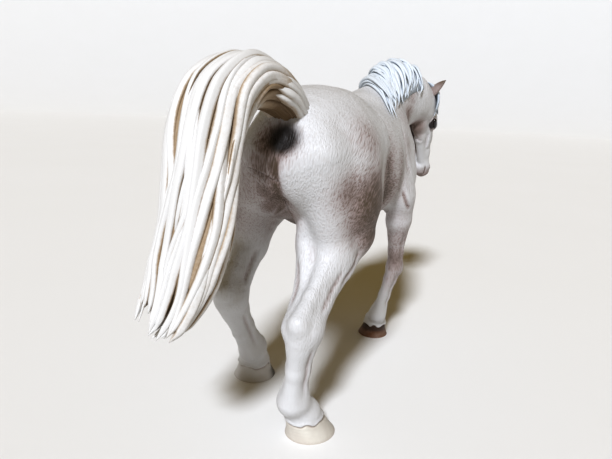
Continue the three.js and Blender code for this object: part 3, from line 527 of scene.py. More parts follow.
@dataclass(frozen=True)
class Anatomy:
    """The stallion's driving sizes, in metres, and where its parts lie."""

    withers_height: float = 0.09
    body_length: float = 0.095
    trunk_depth: float = 0.042
    trunk_width: float = 0.036
    neck_depth: float = 0.03
    neck_width: float = 0.02
    head_length: float = 0.0345
    head_depth: float = 0.0158
    head_width: float = 0.01
    eye_radius: float = 0.0017
    eye_length_share: float = 0.25
    hind_thickness: float = 0.01
    fore_thickness: float = 0.0086
    hoof_height: float = 0.0064
    hind_hoof_width: float = 0.011
    fore_hoof_width: float = 0.009
    limb_blend: float = 0.005
    muscle_blend: float = 0.003
    joint_blend: float = 0.0012
    head_pitch: float = 71
    head_turn: float = 26
    head_swing: float = 6
    poll_shares: Row = (0.625, -0.35, 1.005)
    coronet_lean_share: float = 0.45
    coronet_shares: Row = (0.84, 0.8)
    rim_shares: Row = (1.1, 1.04)
    rim_place_share: float = 1.5
    shift: Row = (0.006717815, -0.002309958, 0)

    def place(self, shares: Row) -> Array:
        """A place, or one a row, from shares of body length, trunk width and withers height."""
        sizes = np.array([self.body_length, self.trunk_width, self.withers_height])
        return np.asarray(shares, float) * sizes + np.array(self.shift)

    def plane(self, shares: tuple[Row, Row]) -> Plane:
        """A seam's plane from the shares of its point and its direction."""
        return Plane(self.place(shares[0]), unit(np.array(shares[1], float)))

    def head_axes(self) -> Array:
        """Rows: along the head, towards its left side and towards its face."""
        turn = turned(UP, -math.radians(self.head_turn))
        pitch = turned(LATERAL, math.radians(self.head_pitch))
        swing = turned(UP, math.radians(self.head_swing))
        return (turn @ pitch @ swing).T

    def head_point(self, along: float, face: float, side: float) -> Array:
        """A place on the head from its shares of head length, depth and width."""
        axes = self.head_axes()
        sizes = (along * self.head_length, side * self.head_width, face * self.head_depth)
        return self.place(self.poll_shares) + np.array(sizes) @ axes

    def head_direction(self, shares: Row, side: int = 1) -> Array:
        """A direction in the head's own axes."""
        along, left, face = self.head_axes()
        return unit(shares[0] * along + shares[1] * face + shares[2] * side * left)

    @staticmethod
    def side_of(leg: str) -> int:
        """One for a left leg, minus one for a right leg."""
        return 1 if leg.startswith("left") else -1

    @staticmethod
    def is_hind(leg: str) -> bool:
        """Whether a leg is a hind leg."""
        return "hind" in leg

    @staticmethod
    def ahead_of(span: Array) -> Array:
        """The direction square to a bone that points forwards in the side view."""
        ahead = unit(np.cross(LATERAL, unit(span)))
        return ahead if ahead[0] >= 0 else -ahead

    def leg_joints(self, leg: str) -> Named:
        """A leg's joints, with the coronet over the sole and the way the hoof stands."""
        shares = LEG_JOINT_SHARES[leg]
        joints = {name: self.place(row) for name, row in shares.items()}
        rise = joints["fetlock"] - joints["sole"]
        stands = unit(rise) if shares["sole"][2] > 0 else UP
        lean = rise - (rise @ stands) * stands
        coronet = joints["sole"] + stands * self.hoof_height + lean * self.coronet_lean_share
        return {**joints, "hoof_up": stands, "coronet": coronet}

    def flesh_station(self, leg: str, row: tuple) -> Station:
        """A leg's station from its row of shares."""
        (start, end), share, onwards, outwards, depth, width = row
        joints = self.leg_joints(leg)
        thick = self.hind_thickness if self.is_hind(leg) else self.fore_thickness
        span = joints[end] - joints[start]
        sideways = outwards * (INWARD_SHARES[leg] if outwards < 0 else 1)
        offset = self.ahead_of(span) * onwards + LATERAL * sideways * self.side_of(leg)
        at = joints[start] + span * share + offset * thick
        return Station(at, depth * thick, width * thick)

    def trunk_station(self, row: Row, side: int = 1) -> Station:
        """A trunk station, mirrored to a side."""
        at = self.place((row[0], row[1] * side, row[2]))
        return Station(at, row[3] * self.trunk_depth, row[4] * self.trunk_width)

    def _form(self, stations: list[Station], blend: float, inner: float | None = None,
              sideways: Array = LATERAL) -> Form:
        """A form whose own swellings join by the joint blend unless another is given."""
        return Form(stations, blend, self.joint_blend if inner is None else inner, sideways)

    def trunk_forms(self) -> list[Form]:
        """The barrel and the muscles of both sides."""
        barrel = [self.trunk_station(row) for row in TRUNK_SHARES]
        forms = [self._form(barrel, self.limb_blend, self.muscle_blend)]
        for side in (-1, 1):
            for ends in TRUNK_MUSCLE_SHARES:
                forms.append(self._form([self.trunk_station(r, side) for r in ends], self.limb_blend))
        return forms

    def neck_form(self) -> Form:
        """The neck."""
        stations = [
            Station(self.place(r[:3]), r[3] * self.neck_depth, r[4] * self.neck_width) for r in NECK_SHARES
        ]
        return self._form(stations, self.limb_blend, self.muscle_blend)

    def hoof_form(self, leg: str) -> Form:
        """The hoof: a capsule that runs past the sole, which a cut makes flat."""
        half = (self.hind_hoof_width if self.is_hind(leg) else self.fore_hoof_width) / 2
        joints = self.leg_joints(leg)
        past = joints["coronet"] + (joints["sole"] - joints["coronet"]) * self.rim_place_share
        depth, width = self.coronet_shares
        rim_depth, rim_width = self.rim_shares
        stations = [
            Station(joints["coronet"], half * depth, half * width),
            Station(past, half * rim_depth, half * rim_width),
        ]
        return self._form(stations, self.joint_blend)

    def leg_forms(self, leg: str) -> list[Form]:
        """A leg's flesh, its hoof and on a hind leg its hamstring."""
        flesh = HIND_FLESH_SHARES if self.is_hind(leg) else FORE_FLESH_SHARES
        forms = []
        for rows in flesh.values():
            blend = self.muscle_blend / 2 if forms else self.limb_blend
            forms.append(self._form([self.flesh_station(leg, row) for row in rows], blend))
        forms.append(self.hoof_form(leg))
        if self.is_hind(leg):
            seat = self.trunk_station(HAMSTRING_SEAT_SHARES, self.side_of(leg))
            end = self.flesh_station(leg, HAMSTRING_END_SHARES)
            forms.append(self._form([seat, end], self.muscle_blend))
        return forms

    def feature_station(self, row: Row, side: int) -> Station:
        """A station of a feature of the head."""
        at = self.head_point(row[0], row[1], row[2] * side)
        return Station(at, row[3] * self.head_depth, row[4] * self.head_width)

    def eye_centre(self, side: int) -> Array:
        """The middle of one eyeball."""
        along, face, sideways = EYE_SHARES
        return self.head_point(along, face, sideways * side)

    def head_forms(self) -> list[Form]:
        """The skull and the features of both sides."""
        along, left, _ = self.head_axes()
        stations = [self.feature_station((r[0], r[1], 0, r[2], r[3]), 1) for r in SKULL_SHARES]
        forms = [self._form(stations, self.muscle_blend, sideways=left)]
        for side in (-1, 1):
            for ends in HEAD_FEATURE_SHARES:
                rows = [self.feature_station(row, side) for row in ends]
                forms.append(self._form(rows, self.joint_blend, sideways=left))
            eye = self.eye_centre(side)
            below = eye + along * self.eye_radius * self.eye_length_share
            balls = [Station(point, self.eye_radius, self.eye_radius) for point in (eye, below)]
            forms.append(self._form(balls, self.joint_blend / 2, sideways=left))
        return forms

    def skin(self) -> Skin:
        """The whole skin, its forms in their joining order."""
        legs = [form for leg in LEG_JOINT_SHARES for form in self.leg_forms(leg)]
        return Skin([*self.trunk_forms(), self.neck_form(), *legs, *self.head_forms()])


HORSE = Anatomy()
SKIN = HORSE.skin()
LEGS = tuple(LEG_JOINT_SHARES)
HEAD_ALONG, HEAD_LEFT, HEAD_FACE = HORSE.head_axes()


# Meshes


def give_values(mesh: Mesh, values: Named) -> None:
    """Gives a mesh values at its points, one attribute for each name."""
    for key, value in values.items():
        mesh.attributes.new(key, "FLOAT", "POINT").data.foreach_set("value", value.astype(np.float32))


@dataclass
class Surface:
    """Points, four-cornered faces and three-cornered faces, with values at the points."""

    points: Array
    quads: Array
    triangles: Array
    values: Named = field(default_factory=dict)

    @staticmethod
    def joined(parts: list["Surface"]) -> "Surface":
        """Several surfaces as one, each closed on its own."""
        starts = np.cumsum([0] + [len(p.points) for p in parts[:-1]])
        names = parts[0].values.keys()
        return Surface(
            np.vstack([p.points for p in parts]),
            np.vstack([p.quads + s for p, s in zip(parts, starts)]),
            np.vstack([p.triangles + s for p, s in zip(parts, starts)]),
            {name: np.concatenate([p.values[name] for p in parts]) for name in names},
        )

    def washed_and_shaded(self, wash: Array) -> "Surface":
        """The surface with its crest and a brown wash, partly painted shade, kept from 0 to 1, as its
        values.
        """
        self.values = {"crest": self.values["crest"], "wash": np.clip(wash, 0, 1)}
        return self

    def to_mesh(self, name: str) -> Mesh:
        """A Blender mesh with smooth faces and the values as attributes."""
        mesh = bpy.data.meshes.new(name)
        mesh.vertices.add(len(self.points))
        mesh.vertices.foreach_set("co", self.points.astype(np.float32).ravel())
        corners = np.concatenate([self.quads.ravel(), self.triangles.ravel()])
        mesh.loops.add(len(corners))
        mesh.loops.foreach_set("vertex_index", corners.astype(np.int32))
        sizes = np.array([4] * len(self.quads) + [3] * len(self.triangles))
        mesh.polygons.add(len(sizes))
        mesh.polygons.foreach_set("loop_start", (np.cumsum(sizes) - sizes).astype(np.int32))
        mesh.update(calc_edges=True)
        mesh.shade_smooth()
        give_values(mesh, self.values)
        return mesh


def closed_rows(rows: Array, first: Array, last: Array, values: Named | None = None) -> Surface:
    """Joins rows of points round an axis, with a pole at each end, into one closed surface.

    Args:
        rows: Points as rings by sides by three.
        first: The pole before the first ring.
        last: The pole after the last ring.
        values: Values by ring and side; a pole takes the mean of its ring.

    Returns:
        The surface, facing outwards where the sides turn to the left round the way forward.
    """
    rings, sides = rows.shape[:2]
    grid = np.arange(rings * sides).reshape(rings, sides)
    after = np.roll(grid, -1, axis=1)
    quads = np.stack([grid[:-1], after[:-1], after[1:], grid[1:]], -1).reshape(-1, 4)
    start, end = rings * sides, rings * sides + 1
    fans = np.vstack([
        np.stack([np.full(sides, start), after[0], grid[0]], -1),
        np.stack([np.full(sides, end), grid[-1], after[-1]], -1),
    ])
    points = np.vstack([rows.reshape(-1, 3), first, last])
    spread = {
        key: np.concatenate([v.ravel(), [v[0].mean(), v[-1].mean()]]) for key, v in (values or {}).items()
    }
    return Surface(points, quads, fans, spread)


def tube(centres: Array, outward: Array, size: Array, flatness: float, sides: int,
         ridges: float, phase: Array, ridge_count: int = 4) -> Surface:
    """A closed tube: an ellipse carried along a line, with shallow ridges along it.

    At angle a the section reaches size cos(a) across and size flatness sin(a) outward, both
    times 1 + ridges cos(ridge_count a + phase). The values are the crest, which is sin(a),
    and the run along the tube.

    Args:
        centres: The line, one point a ring.
        outward: The direction of the section's crest, one a ring.
        size: Half width of each ring.
        flatness: Half depth over half width.
        sides: Points round each ring.
        ridges: Height of the ridges as a share of the section.
        phase: Turn of the ridges, one for each ring.
        ridge_count: How many ridges run round it.

    Returns:
        The tube as a surface.
    """
    tangents = unit(np.gradient(centres, axis=0))
    wide = unit(np.cross(outward, tangents))
    high = np.cross(tangents, wide)
    angles = full_turn(sides)
    swell = 1 + ridges * np.cos(ridge_count * angles + phase[:, None])
    x = (np.cos(angles) * swell * size[:, None])[..., None]
    y = (np.sin(angles) * swell * (size * flatness)[:, None])[..., None]
    rows = centres[:, None] + x * wide[:, None] + y * high[:, None]
    run = np.linspace(0, 1, len(centres))[:, None] * np.ones(sides)
    crest = np.sin(angles) * np.ones((len(centres), 1))
    return closed_rows(rows, centres[0], centres[-1], {"crest": crest, "run": run})


@dataclass
class RayLoft:
    """A closed skin: rings of rays across a spine and fans of rays over both of its ends."""

    spine: SmoothCurve
    skin: Field
    rings: int
    sides: int
    fans: tuple[int, int]
    reach: float
    sideways: Array = field(default_factory=lambda: LATERAL)
    coarse_rings: int = 44
    coarse_sides: int = 40
    slack: float = 0.00045

    def _rays(self, shares: Array, tilts: Array, sides: int) -> tuple[Array, Array]:
        """Origins and directions: cos(a) cos(t) across, sin(a) cos(t) high, sin(t) along.

        Args:
            shares: Where along the spine each ring starts.
            tilts: How far each ring's rays tilt towards the spine, t.
            sides: Rays to a ring.

        Returns:
            One origin and one direction a ray, ring by ring.
        """
        origins = self.spine.at(shares)
        tangents = self.spine.tangent(shares)
        wide = across(self.sideways, tangents)
        high = np.cross(tangents, wide)
        angles = full_turn(sides)
        level = np.cos(tilts)[:, None, None]
        rays = (
            wide[:, None] * np.cos(angles)[None, :, None] * level
            + high[:, None] * np.sin(angles)[None, :, None] * level
            + tangents[:, None] * np.sin(tilts)[:, None, None]
        )
        return np.repeat(origins, sides, axis=0), rays.reshape(-1, 3)

    def _ring_plan(self, rings: int, fans: tuple[int, int]) -> tuple[Array, Array, Array]:
        """The spine share, tilt and running number of every ring, fans included."""
        before = -np.linspace(90, 0, fans[0] + 1, endpoint=False)[1:] if fans[0] else np.zeros(0)
        after = np.linspace(0, 90, fans[1] + 2)[1:-1]
        shares = np.concatenate([np.zeros(len(before)), np.linspace(0, 1, rings + 1), np.ones(len(after))])
        tilts = np.radians(np.concatenate([before, np.zeros(rings + 1), after]))
        number = np.concatenate([before / 90, np.linspace(0, 1, rings + 1), 1 + after / 90])
        return shares, tilts, number

    def surface(self) -> Surface:
        """Casts a coarse net of rays in full, then a fine one around its distances.

        Returns:
            The closed loft.
        """
        rough_fans = (14, 14)
        shares, tilts, rough_number = self._ring_plan(self.coarse_rings, rough_fans)
        origins, rays = self._rays(shares, tilts, self.coarse_sides)
        rough = march(self.skin, origins, rays, self.reach).reshape(-1, self.coarse_sides)

        shares, tilts, number = self._ring_plan(self.rings, self.fans)
        origins, rays = self._rays(shares, tilts, self.sides)
        by_ring = mixed(number, rough_number, rough)
        angle = np.arange(self.sides) / self.sides * self.coarse_sides
        turn = np.concatenate([by_ring, by_ring[:, :1]], 1)
        steps = np.arange(self.coarse_sides + 1)
        guess = np.stack([np.interp(angle, steps, row) for row in turn])
        found = self._refined(origins, rays, guess.ravel())
        rows = (origins + rays * found[:, None]).reshape(-1, self.sides, 3)
        return closed_rows(rows, self._pole(0), self._pole(1))

    def _pole(self, end: int) -> Array:
        """Where the spine, run on straight, leaves the skin."""
        origin = self.spine.at(np.array([float(end)]))
        ray = self.spine.tangent(np.array([float(end)])) * (1 if end else -1)
        return (origin + ray * march(self.skin, origin, ray, self.reach)[:, None])[0]

    def _refined(self, origins: Array, rays: Array, guess: Array) -> Array:
        """Narrows each distance by false position; a ray off its guess is cast in full."""
        near = np.clip(guess - self.slack, 0, None)
        far = np.minimum(guess + self.slack, self.reach + self.slack)
        low = self.skin(origins + rays * near[:, None])
        high = self.skin(origins + rays * far[:, None])
        lost = (low > 0) | (high < 0)
        for _ in range(4):
            share = np.clip(-low / np.maximum(high - low, 1e-9), 0.05, 0.95)
            middle = near + (far - near) * share
            value = self.skin(origins + rays * middle[:, None])
            out = value > 0
            far, high = np.where(out, middle, far), np.where(out, value, high)
            near, low = np.where(out, near, middle), np.where(out, low, value)
        found = near + (far - near) * np.clip(-low / np.maximum(high - low, 1e-9), 0, 1)
        if lost.any():
            found[lost] = march(self.skin, origins[lost], rays[lost], self.reach)
        return np.minimum(found, self.reach)


def trimmed(mesh: Mesh, planes: list[Plane]) -> None:
    """Cuts a mesh at planes, closes each cut with flat faces and keeps its rim sharp.

    Args:
        mesh: The mesh to cut, in place.
        planes: The planes, each facing what is cut away.
    """
    work = bmesh.new()
    work.from_mesh(mesh)
    for plane in planes:
        geometry = [*work.verts, *work.edges, *work.faces]
        cut = bmesh.ops.bisect_plane(
            work, geom=geometry, dist=1e-7, plane_co=plane.at, plane_no=plane.normal, clear_outer=True
        )["geom_cut"]
        rim = [e for e in cut if isinstance(e, bmesh.types.BMEdge) and e.is_boundary]
        if not rim:
            continue
        made = bmesh.ops.triangle_fill(work, use_beauty=True, edges=rim, normal=plane.normal)["geom"]
        for face in made:
            if isinstance(face, bmesh.types.BMFace):
                face.smooth = True
        for edge in rim:
            edge.smooth = False
    work.to_mesh(mesh)
    work.free()


def mesh_points(mesh: Mesh) -> Array:
    """A mesh's points as an array."""
    flat = np.zeros(len(mesh.vertices) * 3, np.float32)
    mesh.vertices.foreach_get("co", flat)
    return flat.reshape(-1, 3).astype(float)


# Relief, paint and painted shade, as functions of the place on the skin


class Paint(StrEnum):
    """The values that a painted skin carries at its points."""

    WASH_AND_SHADE = "wash"
    STROKE = "stroke"
    LEVEL = "level"
    PLUMB = "plumb"
    HOOF = "hoof"
    DARK = "dark"


class Lie(Enum):
    """Which way the hair lies: its angle from upright, forwards, in degrees."""

    SLANT = 44
    LEVEL = 90
    PLUMB = 8


def on_both_sides(rows: Sequence[tuple]) -> list[tuple]:
    """Rows that start with a place on the left, each with its mirrored row before it."""
    return [((x, y * side, z), *rest) for (x, y, z), *rest in rows for side in (-1, 1)]


# Which way the hair lies near each place
HAIR_LIE_SHARES = (
    *on_both_sides((
        ((-0.33, 0.5, 0.78), Lie.SLANT),
        ((-0.25, 0.4, 0.6), Lie.SLANT),
        ((0, 0.45, 0.74), Lie.LEVEL),
        ((0.28, 0.4, 0.72), Lie.SLANT),
    )),
    ((-0.3, 0, 1), Lie.LEVEL),
    ((-0.5, 0, 0.8), Lie.PLUMB),
    ((0.05, 0, 0.98), Lie.LEVEL),
    ((0.05, 0, 0.52), Lie.LEVEL),
    ((0.45, 0, 0.74), Lie.PLUMB),
    ((0.45, -0.25, 0.95), Lie.SLANT),
    ((0.64, -0.33, 0.85), Lie.PLUMB),
    ((-0.4, -0.3, 0.35), Lie.PLUMB),
    ((-0.4, 0.45, 0.35), Lie.PLUMB),
    ((0.25, -0.35, 0.35), Lie.PLUMB),
    ((0.35, 0.35, 0.4), Lie.PLUMB),
)

# Soft brown paint, partly the figurine's airbrushing on haunch, flank and belly and partly painted
# shade where shadow falls: on the left buttock behind the tail, down the cleft, at the throat,
# under the belly and on the forelegs under the body. Place, then radius in metres and strength
AIRBRUSH_AND_SHADE_SHARES = (
    *on_both_sides((
        ((-0.335, 0.47, 0.665), 0.011, 1), ((-0.42, 0.38, 0.705), 0.0075, 0.65),
        ((-0.361, 0.477, 0.851), 0.0085, 0.42), ((-0.09, 0.42, 0.74), 0.0095, 0.85),
        ((-0.05, 0.42, 0.64), 0.01, 0.9), ((-0.05, 0.45, 0.78), 0.011, 0.42),
        ((0.06, 0.46, 0.6), 0.0075, 0.6), ((0.1, 0.47, 0.7), 0.009, 0.4),
        ((0.2, 0.38, 0.56), 0.007, 0.5), ((0.216, 0.442, 0.806), 0.0065, 0.34),
        ((0.267, 0.366, 0.896), 0.007, 0.3), ((0.36, 0.32, 0.78), 0.005, 0.35),
        ((0.436, 0.333, 1), 0.0034, 0.35),
    )),
    ((-0.3, -0.46, 0.59), 0.0085, 0.9), ((-0.3, 0.5, 0.59), 0.0085, 0.9),
    ((-0.49, 0.28, 0.72), 0.0115, 0.5), ((-0.54, 0.04, 0.84), 0.006, 0.95),
    ((-0.515, 0.1, 0.78), 0.0055, 0.9), ((-0.495, 0.1, 0.71), 0.0055, 0.9),
    ((-0.44, 0.1, 0.64), 0.006, 0.9), ((-0.36, 0.1, 0.57), 0.0075, 0.8),
    ((-0.52, -0.24, 0.33), 0.005, 0.22), ((-0.42, 0.46, 0.34), 0.005, 0.3),
    ((-0.1, 0, 0.52), 0.012, 0.45), ((0.068, -0.481, 0.744), 0.008, 0.45),
    ((0.08, -0.468, 0.689), 0.008, 0.55), ((0.228, -0.403, 0.35), 0.0085, 0.65),
    ((0.228, -0.403, 0.45), 0.0085, 0.55), ((0.24, -0.42, 0.46), 0.009, 0.5),
    ((0.25, -0.38, 0.28), 0.008, 0.5), ((0.26, -0.36, 0.28), 0.004, 0.3),
    ((0.38, 0.36, 0.48), 0.009, 0.5), ((0.39, 0.345, 0.905), 0.004, 0.5),
    ((0.395, -0.34, 0.91), 0.0046, 0.7), ((0.417, -0.328, 0.934), 0.0038, 0.5),
    ((0.426, -0.335, 0.974), 0.0036, 0.42), ((0.56, -0.3, 0.86), 0.006, 0.8),
)

# The hollow below the dock, sunk and painted nearly black: partly dark paint, partly painted shade in the
# hollow. Place and radius
DOCK_HOLLOW_SHADE_SHARES = ((-0.543, -0.015, 0.86), 0.0053)


@dataclass(frozen=True)
class Crease:
    """A groove along a line on the skin, with a lip on one side and paint in its bed."""

    points: Array
    width: float
    depth: float
    lip: float = 0
    lip_towards: Row = (1, 0, 0)
    wash: float = 0.6

    def _nearest(self, points: Array) -> tuple[Array, Array]:
        """Offset from the nearest point of the line, and its share along the line."""
        line = SmoothCurve(self.points, steps=12).samples
        best = np.full(len(points), np.inf)
        offset = np.zeros_like(points)
        share = np.zeros(len(points))
        for i, (a, b) in enumerate(zip(line, line[1:])):
            span = b - a
            t = np.clip((points - a) @ span / max(span @ span, 1e-12), 0, 1)
            away = points - (a + t[:, None] * span)
            square = (away**2).sum(1)
            closer = square < best
            best[closer] = square[closer]
            offset[closer] = away[closer]
            share[closer] = (i + t[closer]) / (len(line) - 1)
        return offset, share

    def apply(self, points: Array, height: Array, wash: Array) -> None:
        """Adds to the height -depth e^(-(d/width)^2) and the lip beside it, and the paint.

        Both fade out towards the ends of the line.

        Args:
            points: Places on the skin.
            height: Heights over the skin, changed in place.
            wash: Brown wash, with painted shade, changed in place.
        """
        low, high = self.points.min(0) - 4 * self.width, self.points.max(0) + 4 * self.width
        near = np.flatnonzero(((points > low) & (points < high)).all(1))
        if not near.size:
            return
        offset, share = self._nearest(points[near])
        fade = smooth_step(share, 0, 0.25) * smooth_step(1 - share, 0, 0.25)
        distance = np.linalg.norm(offset, axis=1)
        bed = bell(distance, self.width)
        side = offset @ unit(np.array(self.lip_towards, float))
        lip = np.exp(-(((side - self.width * 1.5) / self.width) ** 2 + (distance / self.width / 2.4) ** 4))
        height[near] += fade * (self.lip * lip - self.depth * bed)
        wash[near] = np.maximum(wash[near], fade * self.wash * bed)


@dataclass
class Coat:
    """The sculpted and painted surface of the skin: hair strokes, creases, washes and painted shade."""

    clump_cell: float = 0.0032
    clump_height: float = 0.0001
    lie_spread: float = 0.011
    cavity_reaches: Row = (0.0012, 0.0035)
    hollow_depth: float = 0.0034
    seed: int = 11

    def __post_init__(self) -> None:
        """Makes the noise and lays out the creases."""
        self.broad = LatticeNoise(self.seed)
        self.creases = [*body_creases(), *leg_creases(), *head_creases()]
        self.lie_places = HORSE.place([row[0] for row in HAIR_LIE_SHARES])
        self.lies = [row[1] for row in HAIR_LIE_SHARES]

    def lie(self, points: Array, lie: Lie) -> Array:
        """How much the hair follows one lie: the share of that lie's places by nearness."""
        square = ((points[:, None] - self.lie_places[None]) ** 2).sum(-1)
        weight = np.exp((square.min(1, keepdims=True) - square) / self.lie_spread**2)
        return weight[:, [row is lie for row in self.lies]].sum(1) / weight.sum(1)

    def cavity(self, points: Array, normals: Array) -> Array:
        """How hollow the skin lies: how much closer than h the skin is to a point h above it."""
        amount = np.zeros(len(points))
        for reach in self.cavity_reaches:
            amount += 1 - SKIN(points + normals * reach) / reach
        return np.clip(amount / len(self.cavity_reaches), 0, 1)

    def finish(self, points: Array, stroke_share: Array | float = 1) -> tuple[Array, Named]:
        """Raises and paints points of the bare skin.

        Args:
            points: Points on the bare skin.
            stroke_share: How strong the hair strokes are, for all or for each point.

        Returns:
            The moved points and the painted values.
        """
        normals = SKIN.normals(points)
        height = stroke_share * self.broad.at(points, self.clump_cell) * self.clump_height
        cavity = self.cavity(points, normals)
        # Painted shade in the hollows: the brown wash grows the more hollow the skin lies, partly the
        # figurine's own wash that gathers there.
        wash = smooth_step(cavity, 0.1, 0.75) * 0.75
        for crease in self.creases:
            crease.apply(points, height, wash)
        # Brown airbrushing, part of it painted shade where shadow falls
        for row, radius, strength in AIRBRUSH_AND_SHADE_SHARES:
            square = ((points - HORSE.place(row)) ** 2).sum(1)
            wash = np.maximum(wash, strength * np.exp(-square / radius**2))
        # The hollow below the dock, painted nearly black: painted shade over dark paint
        hollow, radius = DOCK_HOLLOW_SHADE_SHARES
        square = ((points - HORSE.place(hollow)) ** 2).sum(1)
        pit = np.exp(-square / radius**2)
        height -= self.hollow_depth * pit
        dark = smooth_step(pit, 0.25, 0.75)
        values = {
            Paint.WASH_AND_SHADE: np.clip(wash, 0, 1),
            Paint.STROKE: stroke_share * np.ones(len(points)),
            Paint.LEVEL: self.lie(points, Lie.LEVEL),
            Paint.PLUMB: self.lie(points, Lie.PLUMB),
            Paint.HOOF: np.zeros(len(points)),
            Paint.DARK: dark,
        }
        return points + normals * height[:, None], values


def onto_skin(inner: Array, outer: Array) -> Array:
    """Where rays from inner points towards outer points leave the skin."""
    rays = unit(outer - inner)
    return inner + rays * march(SKIN, inner, rays)[:, None]


def body_line(rows: Sequence[Row], side: int, beyond: float = 0.05) -> Array:
    """A line on one flank, as seen from the side.

    Args:
        rows: The line's shares of body length and withers height.
        side: One for the left flank, minus one for the right.
        beyond: How far out from the middle the rays onto the skin aim.

    Returns:
        The line's points on the skin.
    """
    axis = SmoothCurve(HORSE.place(np.array(TRUNK_SHARES)[:, :3]))
    middle = axis.at(np.linspace(0, 1, 200))
    outer = HORSE.place([(x, side, z) for x, z in rows])
    inner = np.stack([middle[np.abs(middle[:, 0] - p[0]).argmin()] for p in outer])
    outer[:, 1] = inner[:, 1] + side * beyond
    inner[:, 2] = outer[:, 2]
    return onto_skin(inner, outer)


def body_creases() -> list[Crease]:
    """The folds of the trunk: flank, elbow, shoulder and chest of both sides, and the cleft."""
    flank = ((-0.15, 0.88), (-0.125, 0.8), (-0.12, 0.72), (-0.135, 0.64), (-0.16, 0.575))
    elbow = ((0.13, 0.66), (0.15, 0.6), (0.19, 0.56))
    shoulder = ((0.2, 0.9), (0.175, 0.82), (0.185, 0.74), (0.215, 0.67))
    chest = ((0.345, 0.83), (0.33, 0.74), (0.315, 0.66))
    cleft = ((-0.545, 0.02, 0.85), (-0.525, 0.03, 0.78), (-0.5, 0.03, 0.7), (-0.44, 0.05, 0.62))
    rump = HORSE.place((-0.4, 0.03, 0.8)) * np.ones((len(cleft), 1))
    cleft_line = onto_skin(rump, HORSE.place(cleft))
    # The cleft is washed fully dark: partly the figurine's paint, partly painted shade between the buttocks
    creases = [Crease(cleft_line, 0.0019, 0.0016, 0, (0, 1, 0), 1.0)]
    for side in (-1, 1):
        creases += [
            Crease(body_line(flank, side), 0.0011, 0.0011, 0.0009, (-1, 0, 0), 0.85),
            Crease(body_line(elbow, side), 0.001, 0.0005, 0.0002, (1, 0, 0), 0.6),
            Crease(body_line(shoulder, side), 0.0014, 0.0004, 0.0002, (1, 0, 0), 0.35),
            Crease(body_line(chest, side), 0.0012, 0.0004, 0.0002, (-1, 0, 0), 0.4),
        ]
    return creases


def leg_line(leg: str, bone: tuple[str, str], rows: Sequence[Row]) -> Array:
    """A line on a leg: shares of the way down a bone, and the angle from behind to outside."""
    joints = HORSE.leg_joints(leg)
    begin, span = joints[bone[0]], joints[bone[1]] - joints[bone[0]]
    shares, angles = np.array(rows, float).T
    centres = begin + shares[:, None] * span
    angles = np.radians(angles)[:, None]
    ways = np.sin(angles) * LATERAL * HORSE.side_of(leg) - np.cos(angles) * HORSE.ahead_of(span)
    return onto_skin(centres, centres + ways)


# Grooves down a leg: shares of the way down a bone with degrees from behind to outside, then
# width, depth and lip in metres and the wash. The first two run on both sides, between the
# muscles of the upper bone and beside the tendon of the lower one, the others only outside.
MUSCLE_GROOVE_SHARES = ((0.42, 62), (0.66, 62), (0.92, 62)), (0.001, 0.00045, 0.00012, 0.42)
TENDON_GROOVE_SHARES = ((0.1, 62), (0.5, 62), (0.92, 62)), (0.0008, 0.0004, 0.0001, 0.4)
SPLINT_GROOVE_SHARES = ((0.15, 100), (0.5, 98), (0.85, 96)), (0.00045, 0.00022, 0.00008, 0.4)
GASKIN_GROOVE_SHARES = ((0.15, 80), (0.35, 88), (0.62, 96)), (0.001, 0.0004, 0.00015, 0.5)


def leg_groove(leg: str, bone: tuple[str, str], groove: tuple, side: int = 1) -> Crease:
    """One groove down a leg's bone, on its outer side or, with minus one, its inner one."""
    rows, (width, depth, lip, wash) = groove
    line = leg_line(leg, bone, [(share, angle * side) for share, angle in rows])
    return Crease(line, width, depth, lip, (1, 0, 0), wash)


def leg_creases() -> list[Crease]:
    """The grooves between muscle and tendon, down each leg."""
    creases = []
    for leg in LEGS:
        upper, lower = (GASKIN, SHANK) if HORSE.is_hind(leg) else (FOREARM, CANNON)
        for side in (1, -1):
            creases.append(leg_groove(leg, upper, MUSCLE_GROOVE_SHARES, side))
            creases.append(leg_groove(leg, lower, TENDON_GROOVE_SHARES, side))
        creases.append(leg_groove(leg, lower, SPLINT_GROOVE_SHARES))
        if HORSE.is_hind(leg):
            creases.append(leg_groove(leg, upper, GASKIN_GROOVE_SHARES))
    return creases


def head_line(rows: Sequence[Row], side: int) -> Array:
    """A line on one cheek, from rows of shares along the head and towards the face."""
    outer = np.array([HORSE.head_point(along, face, side * 2.0) for along, face in rows])
    inner = np.array([HORSE.head_point(along, face, 0) for along, face in rows])
    return onto_skin(inner, outer)


def head_creases() -> list[Crease]:
    """Mouth, nostril, cheek and cheek crest lines of both sides of the head."""
    mouth = ((0.975, -0.26), (0.93, -0.25), (0.88, -0.235), (0.83, -0.235))
    nostril = ((0.955, -0.08), (0.925, -0.045), (0.89, -0.055))
    cheek = ((0.2, -0.6), (0.36, -0.63), (0.46, -0.52), (0.5, -0.38))
    crest = ((0.42, -0.15), (0.52, -0.19), (0.62, -0.22))
    creases = []
    for side in (-1, 1):
        creases += [
            Crease(head_line(mouth, side), 0.0003, 0.00042, 0.00008, -HEAD_FACE, 0.9),
            Crease(head_line(nostril, side), 0.00042, 0.0008, 0.00016, HEAD_FACE, 1.0),
            Crease(head_line(cheek, side), 0.0007, 0.0003, 0.00012, -HEAD_FACE, 0.4),
            Crease(head_line(crest, side), 0.0006, 0.00022, 0.0001, HEAD_FACE, 0.3),
        ]
    return creases


# Shader graphs


